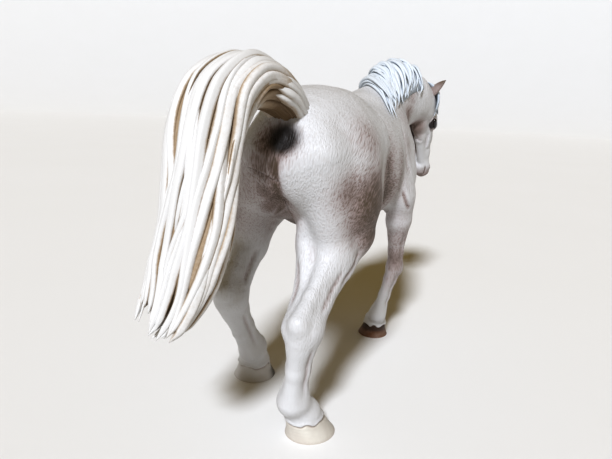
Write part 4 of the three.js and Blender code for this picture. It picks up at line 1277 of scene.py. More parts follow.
class Value:
    """One socket of a shader graph, with Python's operators as Math nodes."""

    def __init__(self, graph: "Graph", socket: bpy.types.NodeSocket) -> None:
        """Wraps an output socket of a graph's node."""
        self.graph, self.socket = graph, socket

    def _math(self, operation: str, first: object, second: object) -> "Value":
        """A Math node on two values or numbers."""
        return self.graph.node("ShaderNodeMath", {"operation": operation}, {0: first, 1: second})

    def __add__(self, other: object) -> "Value":
        """This plus another."""
        return self._math("ADD", self, other)

    __radd__ = __add__

    def __sub__(self, other: object) -> "Value":
        """This less another."""
        return self._math("SUBTRACT", self, other)

    def __rsub__(self, other: object) -> "Value":
        """Another less this."""
        return self._math("SUBTRACT", other, self)

    def __mul__(self, other: object) -> "Value":
        """This times another."""
        return self._math("MULTIPLY", self, other)

    __rmul__ = __mul__

    def ramp(self, low: float, high: float) -> "Value":
        """Rises from 0 at low to 1 at high, eased."""
        settings = {"interpolation_type": "SMOOTHSTEP"}
        return self.graph.node("ShaderNodeMapRange", settings, {0: self, 1: low, 2: high})


class Graph:
    """A material's node graph, built from a Principled shader backwards."""

    def __init__(self, name: str) -> None:
        """Makes an empty material of a name."""
        self.material = bpy.data.materials.new(name)
        self.material.use_nodes = True
        self.tree = self.material.node_tree
        self.tree.nodes.clear()

    def node(self, kind: str, settings: dict, sockets: dict, output: int | str = 0) -> Value:
        """Adds a node.

        Args:
            kind: The node's type.
            settings: Its settings, set before its sockets.
            sockets: Values or links, by socket name or number.
            output: The output wanted, by its name or number.

        Returns:
            That output.
        """
        made = self.tree.nodes.new(kind)
        for name, value in settings.items():
            setattr(made, name, value)
        for key, value in sockets.items():
            if isinstance(value, Value):
                self.tree.links.new(value.socket, made.inputs[key])
            else:
                made.inputs[key].default_value = value
        return Value(self, made.outputs[output])

    def attribute(self, name: str) -> Value:
        """A value that the mesh carries at its points."""
        return self.node("ShaderNodeAttribute", {"attribute_name": name}, {}, "Fac")

    def place(self) -> Value:
        """The place in the object's own frame."""
        return self.node("ShaderNodeTexCoord", {}, {}, "Object")

    def noise(self, scale: float, detail: float, roughness: float, at: Value | None = None) -> Value:
        """Fractal noise from 0 to 1, scale cells a metre, of a place or of the point itself."""
        at = self.place() if at is None else at
        sockets = {"Vector": at, "Scale": scale, "Detail": detail, "Roughness": roughness}
        return self.node("ShaderNodeTexNoise", {}, sockets, "Fac")

    def strokes(self, angle: float, scale: float, stretch: float) -> Value:
        """Noise drawn out into strokes at an angle from upright in the side view."""
        sockets = {"Vector": self.place(), "Rotation": (0, angle, 0), "Scale": (1, 1, stretch)}
        drawn = self.node("ShaderNodeMapping", {"vector_type": "TEXTURE"}, sockets, "Vector")
        return self.noise(scale, 1.5, 0.55, drawn)

    def mix(self, share: Value | float, first: Value | Row, second: Value | Row) -> Value:
        """A colour between two others."""
        settings = {"data_type": "RGBA", "clamp_factor": True}
        return self.node("ShaderNodeMix", settings, {0: share, 6: first, 7: second}, 2)

    def bump(self, height: Value, distance: float, strength: float) -> Value:
        """The normal, bent by a height of at most a distance."""
        sockets = {"Height": height, "Distance": distance, "Strength": strength}
        return self.node("ShaderNodeBump", {}, sockets, "Normal")

    def surface(self, sockets: dict) -> Material:
        """Ends the graph in a Principled shader.

        Args:
            sockets: The shader's constants and links.

        Returns:
            The finished material.
        """
        shader = self.node("ShaderNodeBsdfPrincipled", {}, sockets, "BSDF")
        end = self.tree.nodes.new("ShaderNodeOutputMaterial")
        self.tree.links.new(shader.socket, end.inputs["Surface"])
        return self.material


# Finishes


@dataclass(frozen=True)
class PaintedCoat:
    """White body paint over pale plastic, with a brown wash that is partly painted shade in its hollows and
    where shadow falls, and painted hooves.
    """

    white: Row = (0.53, 0.53, 0.535, 1)
    shade: Row = (0.42, 0.395, 0.375, 1)
    wash: Row = (0.088, 0.062, 0.042, 1)
    mauve: Row = (0.27, 0.205, 0.19, 1)
    hoof: Row = (0.58, 0.555, 0.5, 1)
    chestnut: Row = (0.14, 0.06, 0.025, 1)
    dark: Row = (0.009, 0.006, 0.005, 1)
    roughness: float = 0.46
    specular: float = 0.38
    stroke_scale: float = 2500
    stroke_stretch: float = 5.5

    def material(self, name: str) -> Material:
        """The paint, driven by the skin's wash and painted shade, stroke, lie, hoof and dark values."""
        graph = Graph(name)
        wash = graph.attribute(Paint.WASH_AND_SHADE)
        hoof = graph.attribute(Paint.HOOF)
        dark = graph.attribute(Paint.DARK)
        level = graph.attribute(Paint.LEVEL)
        plumb = graph.attribute(Paint.PLUMB)
        slant, flat, upright = (
            graph.strokes(math.radians(lie.value), self.stroke_scale, self.stroke_stretch) for lie in Lie
        )
        stroke = slant * (1 - level - plumb) + flat * level + upright * plumb
        relief = (stroke - 0.5) * graph.attribute(Paint.STROKE)
        blotch = graph.noise(210, 3, 0.55)
        grain = graph.noise(2600, 3, 0.6)
        valley = (0.02 - relief).ramp(0.0, 0.16)
        tint = (blotch - 0.5) * 0.16 + valley * 0.1
        base = graph.mix(tint.ramp(-0.05, 0.35), self.white, self.shade)
        # The mauve and deep brown carry painted shade as well as the figurine's own wash
        soft_wash_and_shade = graph.mix((wash * 1.4 + valley * wash * 0.7).ramp(0.05, 1.1), base, self.mauve)
        deep_wash_and_shade = (wash * 1.25 + (blotch - 0.5) * 0.25 - relief * wash * 2.2).ramp(0.42, 1.25)
        coat = graph.mix(deep_wash_and_shade, soft_wash_and_shade, self.wash)
        hoofed = graph.mix(hoof, coat, graph.mix(wash + (blotch - 0.5) * 0.5, self.hoof, self.chestnut))
        colour = graph.mix(dark, hoofed, self.dark)
        roughness = self.roughness + (grain - 0.5) * 0.16 + wash * 0.12
        return graph.surface({
            "Base Color": colour,
            "Roughness": roughness,
            "Normal": graph.bump(relief * 2.5 + grain * 0.1, 0.00025, 0.6),
            "Specular IOR Level": self.specular,
        })


@dataclass(frozen=True)
class PaintedHair:
    """Dry-brushed locks: light on their crests, with paint left in the grooves."""

    crest: Row
    flank: Row
    groove: Row
    groove_reach: float = 0.62
    roughness: float = 0.5
    specular: float = 0.35
    strand_scale: float = 1500

    def material(self, name: str) -> Material:
        """The paint, driven by the locks' wash, which holds painted shade on the tail, and crest values."""
        graph = Graph(name)
        wash = graph.attribute("wash")
        crest = graph.attribute("crest")
        fine = graph.noise(self.strand_scale, 3, 0.6)
        blotch = graph.noise(320, 2, 0.5)
        low = (wash + (0.5 - fine) * 0.3 + (blotch - 0.5) * 0.25).ramp(0.12, self.groove_reach)
        deep = (wash + (0.5 - fine) * 0.25).ramp(self.groove_reach * 0.72, self.groove_reach * 1.75)
        colour = graph.mix(deep, graph.mix(low, self.crest, self.flank), self.groove)
        roughness = self.roughness + (fine - 0.5) * 0.14 + wash * 0.1
        return graph.surface({
            "Base Color": colour,
            "Roughness": roughness,
            "Normal": graph.bump(fine + crest * 0.1, 0.00008, 0.6),
            "Specular IOR Level": self.specular,
        })


MANE_HAIR = PaintedHair(
    crest=(0.57, 0.61, 0.65, 1), flank=(0.45, 0.5, 0.56, 1), groove=(0.3, 0.33, 0.36, 1),
)
TAIL_HAIR = PaintedHair(
    crest=(0.6, 0.595, 0.585, 1), flank=(0.33, 0.25, 0.165, 1), groove=(0.12, 0.075, 0.035, 1),
)


@dataclass(frozen=True)
class GlossyEye:
    """A painted black eye under clear varnish, with a brown rim."""

    black: Row = (0.006, 0.005, 0.005, 1)
    brown: Row = (0.02, 0.011, 0.008, 1)
    roughness: float = 0.13

    def material(self, name: str) -> Material:
        """Black in the middle, dark brown towards the rim, by the eye's own value."""
        graph = Graph(name)
        rim = graph.attribute("crest")
        speck = graph.noise(3800, 2, 0.5)
        colour = graph.mix((1 - rim + (speck - 0.5) * 0.2).ramp(0.6, 1.2), self.black, self.brown)
        return graph.surface({
            "Base Color": colour,
            "Roughness": self.roughness + speck * 0.08,
            "Coat Weight": 0.8 * rim,
            "Specular IOR Level": 0.5,
        })


@dataclass(frozen=True)
class PalePaper:
    """The plain pale floor."""

    light: Row = (0.74, 0.74, 0.735, 1)
    warm: Row = (0.725, 0.725, 0.715, 1)
    black: Row = (0, 0, 0, 1)

    def material(self, name: str) -> Material:
        """Almost white, with a faint unevenness, darker where more light falls on it."""
        graph = Graph(name)
        colour = graph.mix(graph.noise(9, 3, 0.5), self.light, self.warm)
        colour = graph.mix(graph.attribute("even"), self.black, colour)
        return graph.surface({
            "Base Color": colour,
            "Roughness": 0.85 + graph.noise(700, 2, 0.5) * 0.1,
            "Specular IOR Level": 0.15,
        })


class Slot(Enum):
    """The record's material slots."""

    COAT = "painted_coat"
    MANE = "painted_mane"
    TAIL = "painted_tail"


def linked(name: str, data: bpy.types.ID) -> Object:
    """Puts a mesh, a camera or a lamp in the scene."""
    made = bpy.data.objects.new(name, data)
    bpy.context.scene.collection.objects.link(made)
    return made


def shown(mesh: Mesh, material: Material, slot: Slot, *nodes: str) -> Object:
    """Puts a finished mesh in the scene as a piece that rides on the figurine.

    Args:
        mesh: The mesh, in the frame's own place.
        material: Its finish.
        slot: The record's slot that the finish belongs to; not used.
        nodes: The nodes that the piece stands for.

    Returns:
        The piece.
    """
    mesh.materials.append(material)
    piece = linked(mesh.name, mesh)
    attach(piece, "root")
    if nodes:
        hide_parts(*nodes)
    log.info("%s: %d faces", piece.name, len(mesh.polygons))
    return piece


def painted(mesh: Mesh, points: Array, values: Named) -> None:
    """Moves a mesh's points and gives it painted values."""
    mesh.vertices.foreach_set("co", points.astype(np.float32).ravel())
    give_values(mesh, values)
    mesh.update()


# The cast pieces


@dataclass
class Torso:
    """Barrel, rump and shoulders, from the buttocks to the root of the neck."""

    coat: Coat
    finish: Material
    rings: int = 190
    sides: int = 300
    fans: tuple[int, int] = (60, 26)
    overrun: float = 0.009
    reach: float = 0.095

    def build(self) -> Object:
        """Lofts the trunk, trims it at its five seams and sculpts it."""
        planes = [HORSE.plane(SEAM_SHARES[name]) for name in SEAM_SHARES]
        loft = RayLoft(
            SmoothCurve(HORSE.place(TRUNK_SPINE_SHARES)),
            within(SKIN, planes, self.overrun),
            self.rings, self.sides, self.fans, self.reach,
        )
        mesh = loft.surface().to_mesh("painted_torso")
        trimmed(mesh, planes)
        painted(mesh, *self.coat.finish(mesh_points(mesh)))
        return shown(mesh, self.finish, Slot.COAT, "torso")


class HoofPaint(Enum):
    """How a hoof is painted: how much horn shows, and how brown it is."""

    CREAM = (1.0, 0.12)
    BOOT = (0.35, 0.15)
    CHESTNUT = (1.0, 0.95)


HOOF_PAINTS = {
    "right_hind_leg": HoofPaint.CREAM,
    "left_hind_leg": HoofPaint.BOOT,
    "right_foreleg": HoofPaint.CHESTNUT,
    "left_foreleg": HoofPaint.CHESTNUT,
}


@dataclass
class Leg:
    """One leg with its haunch or upper arm, from its seam to its flat sole."""

    name: str
    coat: Coat
    finish: Material
    rings: int = 250
    sides: int = 150
    fans: tuple[int, int] = (30, 30)
    overrun: float = 0.008
    side_overrun: float = 0.003
    hind_reach: float = 0.031
    fore_reach: float = 0.016
    hair_edge_share: float = 0.8
    edge_waver: float = 0.0007
    waver_cell: float = 0.0016
    edge_blur: float = 0.00012
    band_height: float = 0.00035
    band_width: float = 0.00045
    band_rise: float = 0.0003
    seam_depth: float = 0.0003
    seam_width: float = 0.00035
    seam_drop: float = 0.0002
    growth_ring_depth: float = 0.000022
    growth_ring_spacing: float = 0.00016
    flare: float = 0.0011
    sole_darkening: float = 0.0009

    def _spine(self, joints: Named, plane: Plane) -> SmoothCurve:
        """From the seam down the middle of the leg to just over the sole."""
        top, middle = GASKIN if HORSE.is_hind(self.name) else FOREARM
        low = joints["coronet"] + (joints["sole"] - joints["coronet"]) * 0.3
        half = (joints[top] + joints[middle]) / 2
        return SmoothCurve([plane.at, half, joints[middle], joints["fetlock"], low])

    def _hoof(self, points: Array, joints: Named) -> tuple[Array, Named]:
        """The hoof's band, growth rings and flare, as heights, and its horn and wash.

        With h the height over the sole and H where the hair ends: a band A e^(-((h - H) / w)^2)
        over a like seam, rings B cos(h / r) and a flare C (1 - h / top)^2 towards the ground.

        Args:
            points: Points on the bare skin.
            joints: The leg's joints.

        Returns:
            The relief at each point, and the shares of horn wall and wash.
        """
        top = HORSE.hoof_height
        near = np.linalg.norm(points - joints["coronet"], axis=1) < top * 2.2
        height = (points - joints["sole"]) @ joints["hoof_up"]
        edge = top * self.hair_edge_share + self.edge_waver * self.coat.broad.at(points, self.waver_cell)
        above = height - edge
        wall = near * smooth_step(-above, -self.edge_blur, self.edge_blur)
        band = near * bell(above - self.band_rise, self.band_width)
        rings = near * wall * np.cos(height / self.growth_ring_spacing) * self.growth_ring_depth
        flare = near * wall * np.clip(1 - height / top, 0, 1) ** 2
        seam = near * bell(above + self.seam_drop, self.seam_width)
        relief = band * self.band_height - seam * self.seam_depth + rings + flare * self.flare
        # The wall is washed darker towards the sole.
        ground = smooth_step(self.sole_darkening - height, 0, self.sole_darkening)
        wash = near * wall * ground * 0.3 + seam * 0.6
        return relief, {"wall": wall, "wash": wash}

    def build(self) -> Object:
        """Lofts the leg, trims it at its seam, its inner side and its sole, and sculpts it."""
        joints = HORSE.leg_joints(self.name)
        plane = HORSE.plane(SEAM_SHARES[self.name])
        side = HORSE.side_of(self.name)
        inner = Plane(HORSE.place((0, 0, 0)), -LATERAL * side)
        sole = Plane(joints["sole"], -joints["hoof_up"])
        rooted = within(SKIN, [plane.flipped()], self.overrun)
        loft = RayLoft(
            self._spine(joints, plane),
            within(rooted, [inner, sole], self.side_overrun),
            self.rings, self.sides, self.fans,
            self.hind_reach if HORSE.is_hind(self.name) else self.fore_reach,
        )
        mesh = loft.surface().to_mesh("painted_" + self.name)
        trimmed(mesh, [plane.flipped(), inner, sole])
        bare = mesh_points(mesh)
        relief, hoof = self._hoof(bare, joints)
        lower = smooth_step(bare[:, 2], HORSE.withers_height * 0.18, HORSE.withers_height * 0.55)
        points, values = self.coat.finish(bare, (0.25 + 0.75 * lower) * (1 - hoof["wall"]))
        on_sole = sole.height(bare) > -1e-6
        outwards = SKIN.normals(bare)
        outwards -= np.outer(outwards @ joints["hoof_up"], joints["hoof_up"]) * (hoof["wall"] > 0.5)[:, None]
        points = points + outwards * relief[:, None]
        points[on_sole] -= np.outer(sole.height(points[on_sole]), sole.normal)
        shows, brown = HOOF_PAINTS[self.name].value
        values[Paint.HOOF] = hoof["wall"] * shows
        stain = hoof["wall"] * brown
        tall = (bare - joints["sole"]) @ joints["hoof_up"] / HORSE.hoof_height
        ahead = (bare[:, 0] - joints["sole"][0]) / HORSE.hoof_height
        toe = smooth_step(ahead, -0.35, 0.3) * smooth_step(0.6 - tall, 0, 0.3) * (shows < 1)
        upper = smooth_step(tall, 0.25, 0.6) * (brown > 0.5)
        values[Paint.DARK] = hoof["wall"] * np.maximum(toe * 0.85, upper * 0.75)
        coat_wash_and_shade = values[Paint.WASH_AND_SHADE] * (1 - hoof["wall"])
        values[Paint.WASH_AND_SHADE] = np.clip(np.maximum.reduce([coat_wash_and_shade, hoof["wash"], stain]), 0, 1)
        painted(mesh, points, values)
        return shown(mesh, self.finish, Slot.COAT, self.name)


@dataclass
class HeadAndNeck:
    """Neck, head and ears: two lofts that meet at the throat, and two leaf-shaped ears."""

    coat: Coat
    finish: Material
    neck_rings: int = 130
    neck_sides: int = 190
    head_rings: int = 170
    head_sides: int = 170
    fans: tuple[int, int] = (34, 34)
    overrun: float = 0.008
    head_overrun: float = 0.009
    throat_overrun: float = 0.003
    reach: float = 0.095
    ear_length: float = 0.008
    ear_width: float = 0.0048
    ear_curl_share: float = 0.15
    ear_hollow: float = 1.45
    ear_rings: int = 40
    ear_sides: int = 36
    lid_size: Row = (0.00215, 0.0015)
    lid_rise: float = 0.00042
    fold_depth: float = 0.00012
    rim_size: Row = (0.0016, 0.0017)
    rim_drop: float = 0.0005
    cheek_blend: float = 0.006

    def _ear(self, side: int) -> Surface:
        """One ear: rings that narrow to a point, drawn in where the ear opens.

        The ring at height h is an ellipse whose front half is scaled by 1 - k sin(a), so
        that it folds inwards; the middle line curls forwards with h squared.
        """
        along, face, sideways = EAR_ROOT_SHARES
        root = HORSE.head_point(along, face, sideways * side)
        pointing = HORSE.head_direction(EAR_POINTING_SHARES, side)
        wide = unit(np.cross(HORSE.head_direction(EAR_OPENING_SHARES, side), pointing))
        front = np.cross(pointing, wide)
        table = np.array(EAR_RING_SHARES)
        heights = np.linspace(table[0, 0], 1.0, self.ear_rings)
        widths = np.interp(heights, [*table[:, 0], 1.0], [*table[:, 1], 0.04])
        depths = np.interp(heights, [*table[:, 0], 1.0], [*table[:, 2], 0.04])
        hump = np.hanning(7)[1:-1]
        widths, depths = (
            np.convolve(np.pad(sizes, 2, mode="edge"), hump / hump.sum(), "valid")
            for sizes in (widths, depths)
        )
        centres = root + np.outer(heights * self.ear_length, pointing)
        centres += np.outer(heights**2 * self.ear_curl_share * self.ear_length, HEAD_FACE)
        angles = full_turn(self.ear_sides)
        hollow = 1 - np.maximum(np.sin(angles), 0) * self.ear_hollow
        x = np.cos(angles) * widths[:, None] * self.ear_width / 2
        y = np.sin(angles) * hollow * depths[:, None] * self.ear_width / 2
        rows = centres[:, None] + x[..., None] * wide + y[..., None] * front
        inside = smooth_step(np.sin(angles), 0.1, 0.8) * np.ones((self.ear_rings, 1))
        rim = 1 - np.abs(np.sin(angles)) * np.ones((self.ear_rings, 1))
        tipped = smooth_step(heights, 0.6, 1.0)[:, None]
        values = {
            Paint.WASH_AND_SHADE: np.clip(0.6 + inside * 0.5 + tipped * 0.4, 0, 1),
            Paint.STROKE: rim * 0.6,
            Paint.HOOF: inside * 0,
            Paint.DARK: inside * 0.25 * (1 - tipped),
        }
        return closed_rows(rows, centres[0], centres[-1] + pointing * 0.0002, values)

    def _part(self, name: str, loft: RayLoft, planes: list[Plane]) -> Mesh:
        """One trimmed and sculpted loft."""
        mesh = loft.surface().to_mesh(name)
        trimmed(mesh, planes)
        bare = mesh_points(mesh)
        cheek = smooth_step((bare - HORSE.head_point(0, 0, 0)) @ HEAD_ALONG, 0, self.cheek_blend)
        points, values = self.coat.finish(bare, 1 - 0.72 * cheek)
        points, values = self._features(bare, points, values)
        painted(mesh, points, values)
        return mesh

    def _features(self, bare: Array, points: Array, values: Named) -> tuple[Array, Named]:
        """Lids round the eyes as raised rings e^(-((d - r) / w)^2), and the painted muzzle."""
        normals = SKIN.normals(bare)
        for side in (-1, 1):
            offset = bare - HORSE.eye_centre(side)
            along, up = offset @ HEAD_ALONG, offset @ HEAD_FACE
            flat = np.stack([along, up], -1) / self.lid_size
            out = (offset @ HEAD_LEFT) * side > 0
            ring = np.linalg.norm(flat, axis=1)
            lid = out * bell(ring - 1.12, 0.2)
            fold = out * bell(ring - 1.75, 0.16) * (flat[:, 1] > 0)
            points = points + normals * (lid * self.lid_rise - fold * self.fold_depth)[:, None]
            behind = np.hypot(along / self.rim_size[0], (up + self.rim_drop) / self.rim_size[1])
            rimmed = out * smooth_step(1.25 - behind, 0, 0.35)
            values[Paint.DARK] = np.maximum(values[Paint.DARK], rimmed * 0.96)
            shadow = out * smooth_step(2.0 - ring, 0, 1.0)
            values[Paint.WASH_AND_SHADE] = np.maximum(values[Paint.WASH_AND_SHADE], shadow * 0.5)
        run = (bare - HORSE.head_point(0, 0, 0)) @ HEAD_ALONG / HORSE.head_length
        clear, full = (HORSE.place((share, 0, 0))[0] for share in (0.6, 0.66))
        muzzle = smooth_step(run, 0.78, 0.97) * smooth_step(bare[:, 0], clear, full)
        values[Paint.WASH_AND_SHADE] = np.maximum(values[Paint.WASH_AND_SHADE], muzzle * 0.6)
        return points, values

    def build(self) -> list[Object]:
        """Builds neck and head, with both ears on the head."""
        seam = HORSE.plane(SEAM_SHARES["head_and_neck"]).flipped()
        throat = HORSE.plane(THROAT_SHARES)
        neck = RayLoft(
            SmoothCurve(HORSE.place(np.array(NECK_SHARES[1:-1])[:, :3])),
            within(within(SKIN, [seam], self.overrun), [throat], self.throat_overrun),
            self.neck_rings, self.neck_sides, self.fans, self.reach,
        )
        head = RayLoft(
            SmoothCurve([HORSE.head_point(a, f, 0) for a, f in HEAD_SPINE_SHARES]),
            within(SKIN, [throat.flipped()], self.head_overrun),
            self.head_rings, self.head_sides, self.fans, self.reach, sideways=HEAD_LEFT,
        )
        meshes = [
            self._part("painted_neck", neck, [seam, throat]),
            self._part("painted_head", head, [throat.flipped()]),
            Surface.joined([self._ear(-1), self._ear(1)]).to_mesh("painted_ears"),
        ]
        return [shown(mesh, self.finish, Slot.COAT, "head_and_neck") for mesh in meshes]


@dataclass
class Eye:
    """A glossy dome set into the eyeball's bulge."""

    side: int
    finish: Material
    length: float = 0.002
    height: float = 0.00136
    rise: float = 0.00072
    sunk: float = 0.00022
    rings: int = 26
    sides: int = 48

    def build(self) -> Object:
        """A dome: at angle t from its middle it is sin(t) wide and cos(t) high."""
        centre = HORSE.eye_centre(self.side)
        out = unit(HEAD_LEFT * self.side + HEAD_FACE * 0.22)
        top = centre + out * march(SKIN, centre[None], out[None])[0]
        along = across(HEAD_ALONG, out)
        face = np.cross(out, along) * self.side
        tilt = np.linspace(0.04, math.pi - 0.04, self.rings)
        angles = full_turn(self.sides) * -self.side
        x = np.sin(tilt)[:, None] * np.cos(angles) * self.length
        y = np.sin(tilt)[:, None] * np.sin(angles) * self.height
        z = np.cos(tilt)[:, None] * self.rise - self.sunk + 0 * angles
        rows = top + x[..., None] * along + y[..., None] * face + z[..., None] * out
        first, last = top + out * (self.rise - self.sunk), top - out * (self.rise + self.sunk)
        values = {"crest": np.cos(tilt)[:, None] * np.ones(self.sides)}
        name = "left_eye" if self.side > 0 else "right_eye"
        mesh = closed_rows(rows, first, last, values).to_mesh(name)
        return shown(mesh, self.finish, Slot.COAT)


# Hair


def tapered(run: Array, root: float, tip: float) -> Array:
    """A lock's size along its run: rises from root, full in the middle, falls to a point."""
    swell = smooth_step(run, -0.02, root)
    fall = np.clip((1 - run) / tip, 0, 1) ** 0.75
    return np.maximum((0.35 + 0.65 * swell) * np.minimum(fall, 1), 0.02)


class NeckFrame:
    """Places over the neck's skin: share along the neck, angle to the right, and lift."""

    def __init__(self) -> None:
        """Lays the neck's middle line."""
        self.axis = SmoothCurve(HORSE.place(np.array(NECK_SHARES)[:, :3]))

    def axes(self, shares: Array) -> tuple[Array, Array]:
        """To the neck's right and up from its crest."""
        run = self.axis.tangent(shares)
        right = unit(np.cross(run, UP))
        return right, np.cross(right, run)

    def over(self, shares: Array, angles: Array, lifts: Array,
             back: Array | float = 0) -> tuple[Array, Array]:
        """Points over the skin, and the way out from the neck's middle line there."""
        centre = self.axis.at(shares) - np.outer(np.broadcast_to(back, shares.shape), (1.0, 0.0, 0.0))
        right, rise = self.axes(shares)
        ray = unit(rise * np.cos(angles)[:, None] + right * np.sin(angles)[:, None])
        reach = march(SKIN, centre, ray) + lifts
        return centre + ray * reach[:, None], ray


# One lock of the mane: degrees from the crest to the right, lift in lock thicknesses and
# drift back in body lengths
MANE_LOCK_SHARES = (
    (-32, 0.25, 0),
    (-6, 1.6, 0.02),
    (20, 1.6, 0.08),
    (50, 1.35, 0.15),
    (82, 0.75, 0.21),
)


@dataclass
class Mane:
    """Short tousled locks in layers over a ridge along the crest of the neck.

    A layer is a count of locks, the least and most reach of their tips, their lift and
    their half width.
    """

    finish: Material
    start_share: float = 0.38
    end_share: float = 0.85
    layers: tuple = (
        (30, 0.86, 1.12, 0.3, 0.0016),
        (30, 0.74, 1.04, 0.62, 0.0015),
        (28, 0.52, 0.9, 0.92, 0.0013),
        (18, 0.34, 0.66, 1.05, 0.0011),
    )
    lock_thickness: float = 0.003
    steps: int = 44
    sides: int = 12
    seed: int = 23
    thickness_share: float = 0.72
    droop: float = 0.12
    drift: float = 1.15
    swing_degrees: Row = (-7, 7)
    tip_lift: Row = (-0.0003, 0.0011)
    tip_drift: Row = (-0.002, 0.0024)
    waver: Row = (0, 0.0008)
    ridge_height: float = 0.0026
    ridge_sunk: Row = (-0.0003, -0.0008)
    ridge_degrees: Row = (-34, 66)
    ridge_steps: tuple[int, int] = (40, 26)

    def _lock(self, neck: NeckFrame, rng: np.random.Generator, position: float,
              reach: float, lift: float, width: float) -> Surface:
        """One lock: from left of the crest over to the right, waving sideways along the neck.

        Args:
            neck: The neck's frame.
            rng: Where its chances come from.
            position: Where it grows, from 0 at the withers to 1 at the poll.
            reach: How much of the whole way its tip reaches.
            lift: How high over the skin it runs, as a share of a full lock's lift.
            width: Its half width.

        Returns:
            The lock.
        """
        run = np.linspace(0, 1, 8)
        table = np.array(MANE_LOCK_SHARES)
        degrees, heights, drifts = mixed(run * reach, np.linspace(0, 1, len(table)), table).T
        share = self.start_share + (self.end_share - self.start_share) * position
        swell = math.sin(math.pi * (0.14 + 0.72 * position))
        angles = np.radians(degrees * (1 + self.droop * (1 - position)) + rng.uniform(*self.swing_degrees))
        wave = rng.uniform(0.008, 0.024) * np.sin(run * rng.uniform(4, 9) + rng.uniform(0, 6)) * run
        lifts = heights * lift * swell * self.lock_thickness * rng.uniform(0.85, 1.3)
        lifts = lifts * (1 - 0.5 * run**3) + rng.uniform(*self.tip_lift) * run**3
        back = drifts * self.drift * (1 - 0.8 * position) * HORSE.body_length
        back = back + rng.uniform(*self.tip_drift) * run**2
        back = back + rng.uniform(*self.waver) * np.sin(run * rng.uniform(6, 12))
        points, out = neck.over(share + wave, angles, lifts, back)
        shares = np.linspace(0, 1, self.steps)
        line = SmoothCurve(points, steps=40).at(shares)
        size = width * (tapered(shares, 0.25, rng.uniform(0.45, 0.75)) * (0.6 + 0.4 * swell))
        phase = rng.uniform(0, 6) + shares * rng.uniform(-3, 3)
        lock = tube(line, mixed(shares, run, out), size, self.thickness_share, self.sides, 0.11, phase)
        groove = smooth_step(-lock.values["crest"], -0.75, 0.5)
        return lock.washed_and_shaded(0.75 * groove + rng.uniform(-0.12, 0.16))

    def _ridge(self, neck: NeckFrame) -> Surface:
        """The body of the mane under its locks: a low hump from left to right of the crest."""
        along, around = self.ridge_steps
        shares = np.linspace(self.start_share, self.end_share - 0.01, along)
        angles = np.radians(np.linspace(*self.ridge_degrees, around))
        shares, angles = (grid.ravel() for grid in np.meshgrid(shares, angles, indexing="ij"))
        rise = np.sin(np.linspace(0.02, 0.98, along) * math.pi)[:, None] ** 0.4
        bulge = np.sin(np.linspace(0.02, 0.98, around) * math.pi)[None, :] ** 0.6
        upper = (self.ridge_height * rise * bulge + self.ridge_sunk[0]).ravel()
        top, _ = neck.over(shares, angles, upper)
        under, _ = neck.over(shares, angles, np.full(shares.size, self.ridge_sunk[1]))
        top, under = top.reshape(along, around, 3), under.reshape(along, around, 3)
        rows = np.concatenate([top, under[:, ::-1]], axis=1)[:, ::-1]
        wash = np.full(rows.shape[:2], 0.8)
        return closed_rows(rows, rows[0].mean(0), rows[-1].mean(0), {"crest": wash * 0, "wash": wash})

    def build(self) -> Object:
        """Builds every layer from the lowest outwards."""
        neck = NeckFrame()
        rng = np.random.default_rng(self.seed)
        locks = [self._ridge(neck)]
        for count, low, high, lift, width in self.layers:
            for i in range(count):
                position = (i + rng.uniform(0.2, 0.8)) / count
                reach = rng.uniform(low, high) * (1 - 0.1 * position)
                locks.append(self._lock(neck, rng, position, reach, lift, width * rng.uniform(0.62, 0.95)))
        mesh = Surface.joined(locks).to_mesh("mane_locks")
        return shown(mesh, self.finish, Slot.MANE, "mane")


@dataclass
class Forelock:
    """Locks that fall from between the ears over the forehead."""

    finish: Material
    count: int = 28
    steps: int = 36
    sides: int = 12
    width: float = 0.00105
    lift: float = 0.0004
    bulge: float = 0.0011
    spread: Row = (-1.5, 0.95)
    root_share: float = -0.13
    length_shares: Row = (0.2, 0.34)
    seed: int = 31

    def _lock(self, rng: np.random.Generator, spread: float) -> Surface:
        """One lock along the head, lying just over the skin of the forehead."""
        run = np.linspace(0, 1, 6)
        length = rng.uniform(*self.length_shares) * (1 - 0.25 * abs(spread))
        along = self.root_share + (length - self.root_share) * run
        side = spread * (0.16 + 0.55 * run) + rng.uniform(-0.05, 0.05) * np.sin(run * 5)
        inner = np.array([HORSE.head_point(a, -0.15, s * 0.6) for a, s in zip(along, side)])
        face = 1 - 1.5 * max(0.0, abs(spread) - 1)
        outer = np.array([HORSE.head_point(a, face, s * 1.2) for a, s in zip(along, side)])
        ray = unit(outer - inner)
        lift = self.lift + self.bulge * np.sin(math.pi * (0.1 + 0.82 * run)) * rng.uniform(0.5, 1.2)
        points = inner + ray * (march(SKIN, inner, ray) + lift)[:, None]
        shares = np.linspace(0, 1, self.steps)
        line = SmoothCurve(points, steps=40).at(shares)
        size = tapered(shares, 0.2, rng.uniform(0.5, 0.8)) * self.width * rng.uniform(0.7, 1.1)
        phase = rng.uniform(0, 6) + shares * 2
        lock = tube(line, mixed(shares, run, ray), size, 0.7, self.sides, 0.1, phase)
        return lock.washed_and_shaded(0.8 * smooth_step(-lock.values["crest"], -0.7, 0.5))

    def build(self) -> Object:
        """Builds the locks from side to side."""
        rng = np.random.default_rng(self.seed)
        spreads = np.linspace(*self.spread, self.count) + rng.uniform(-0.1, 0.1, self.count)
        mesh = Surface.joined([self._lock(rng, s) for s in spreads]).to_mesh("forelock_locks")
        return shown(mesh, self.finish, Slot.MANE, "forelock")


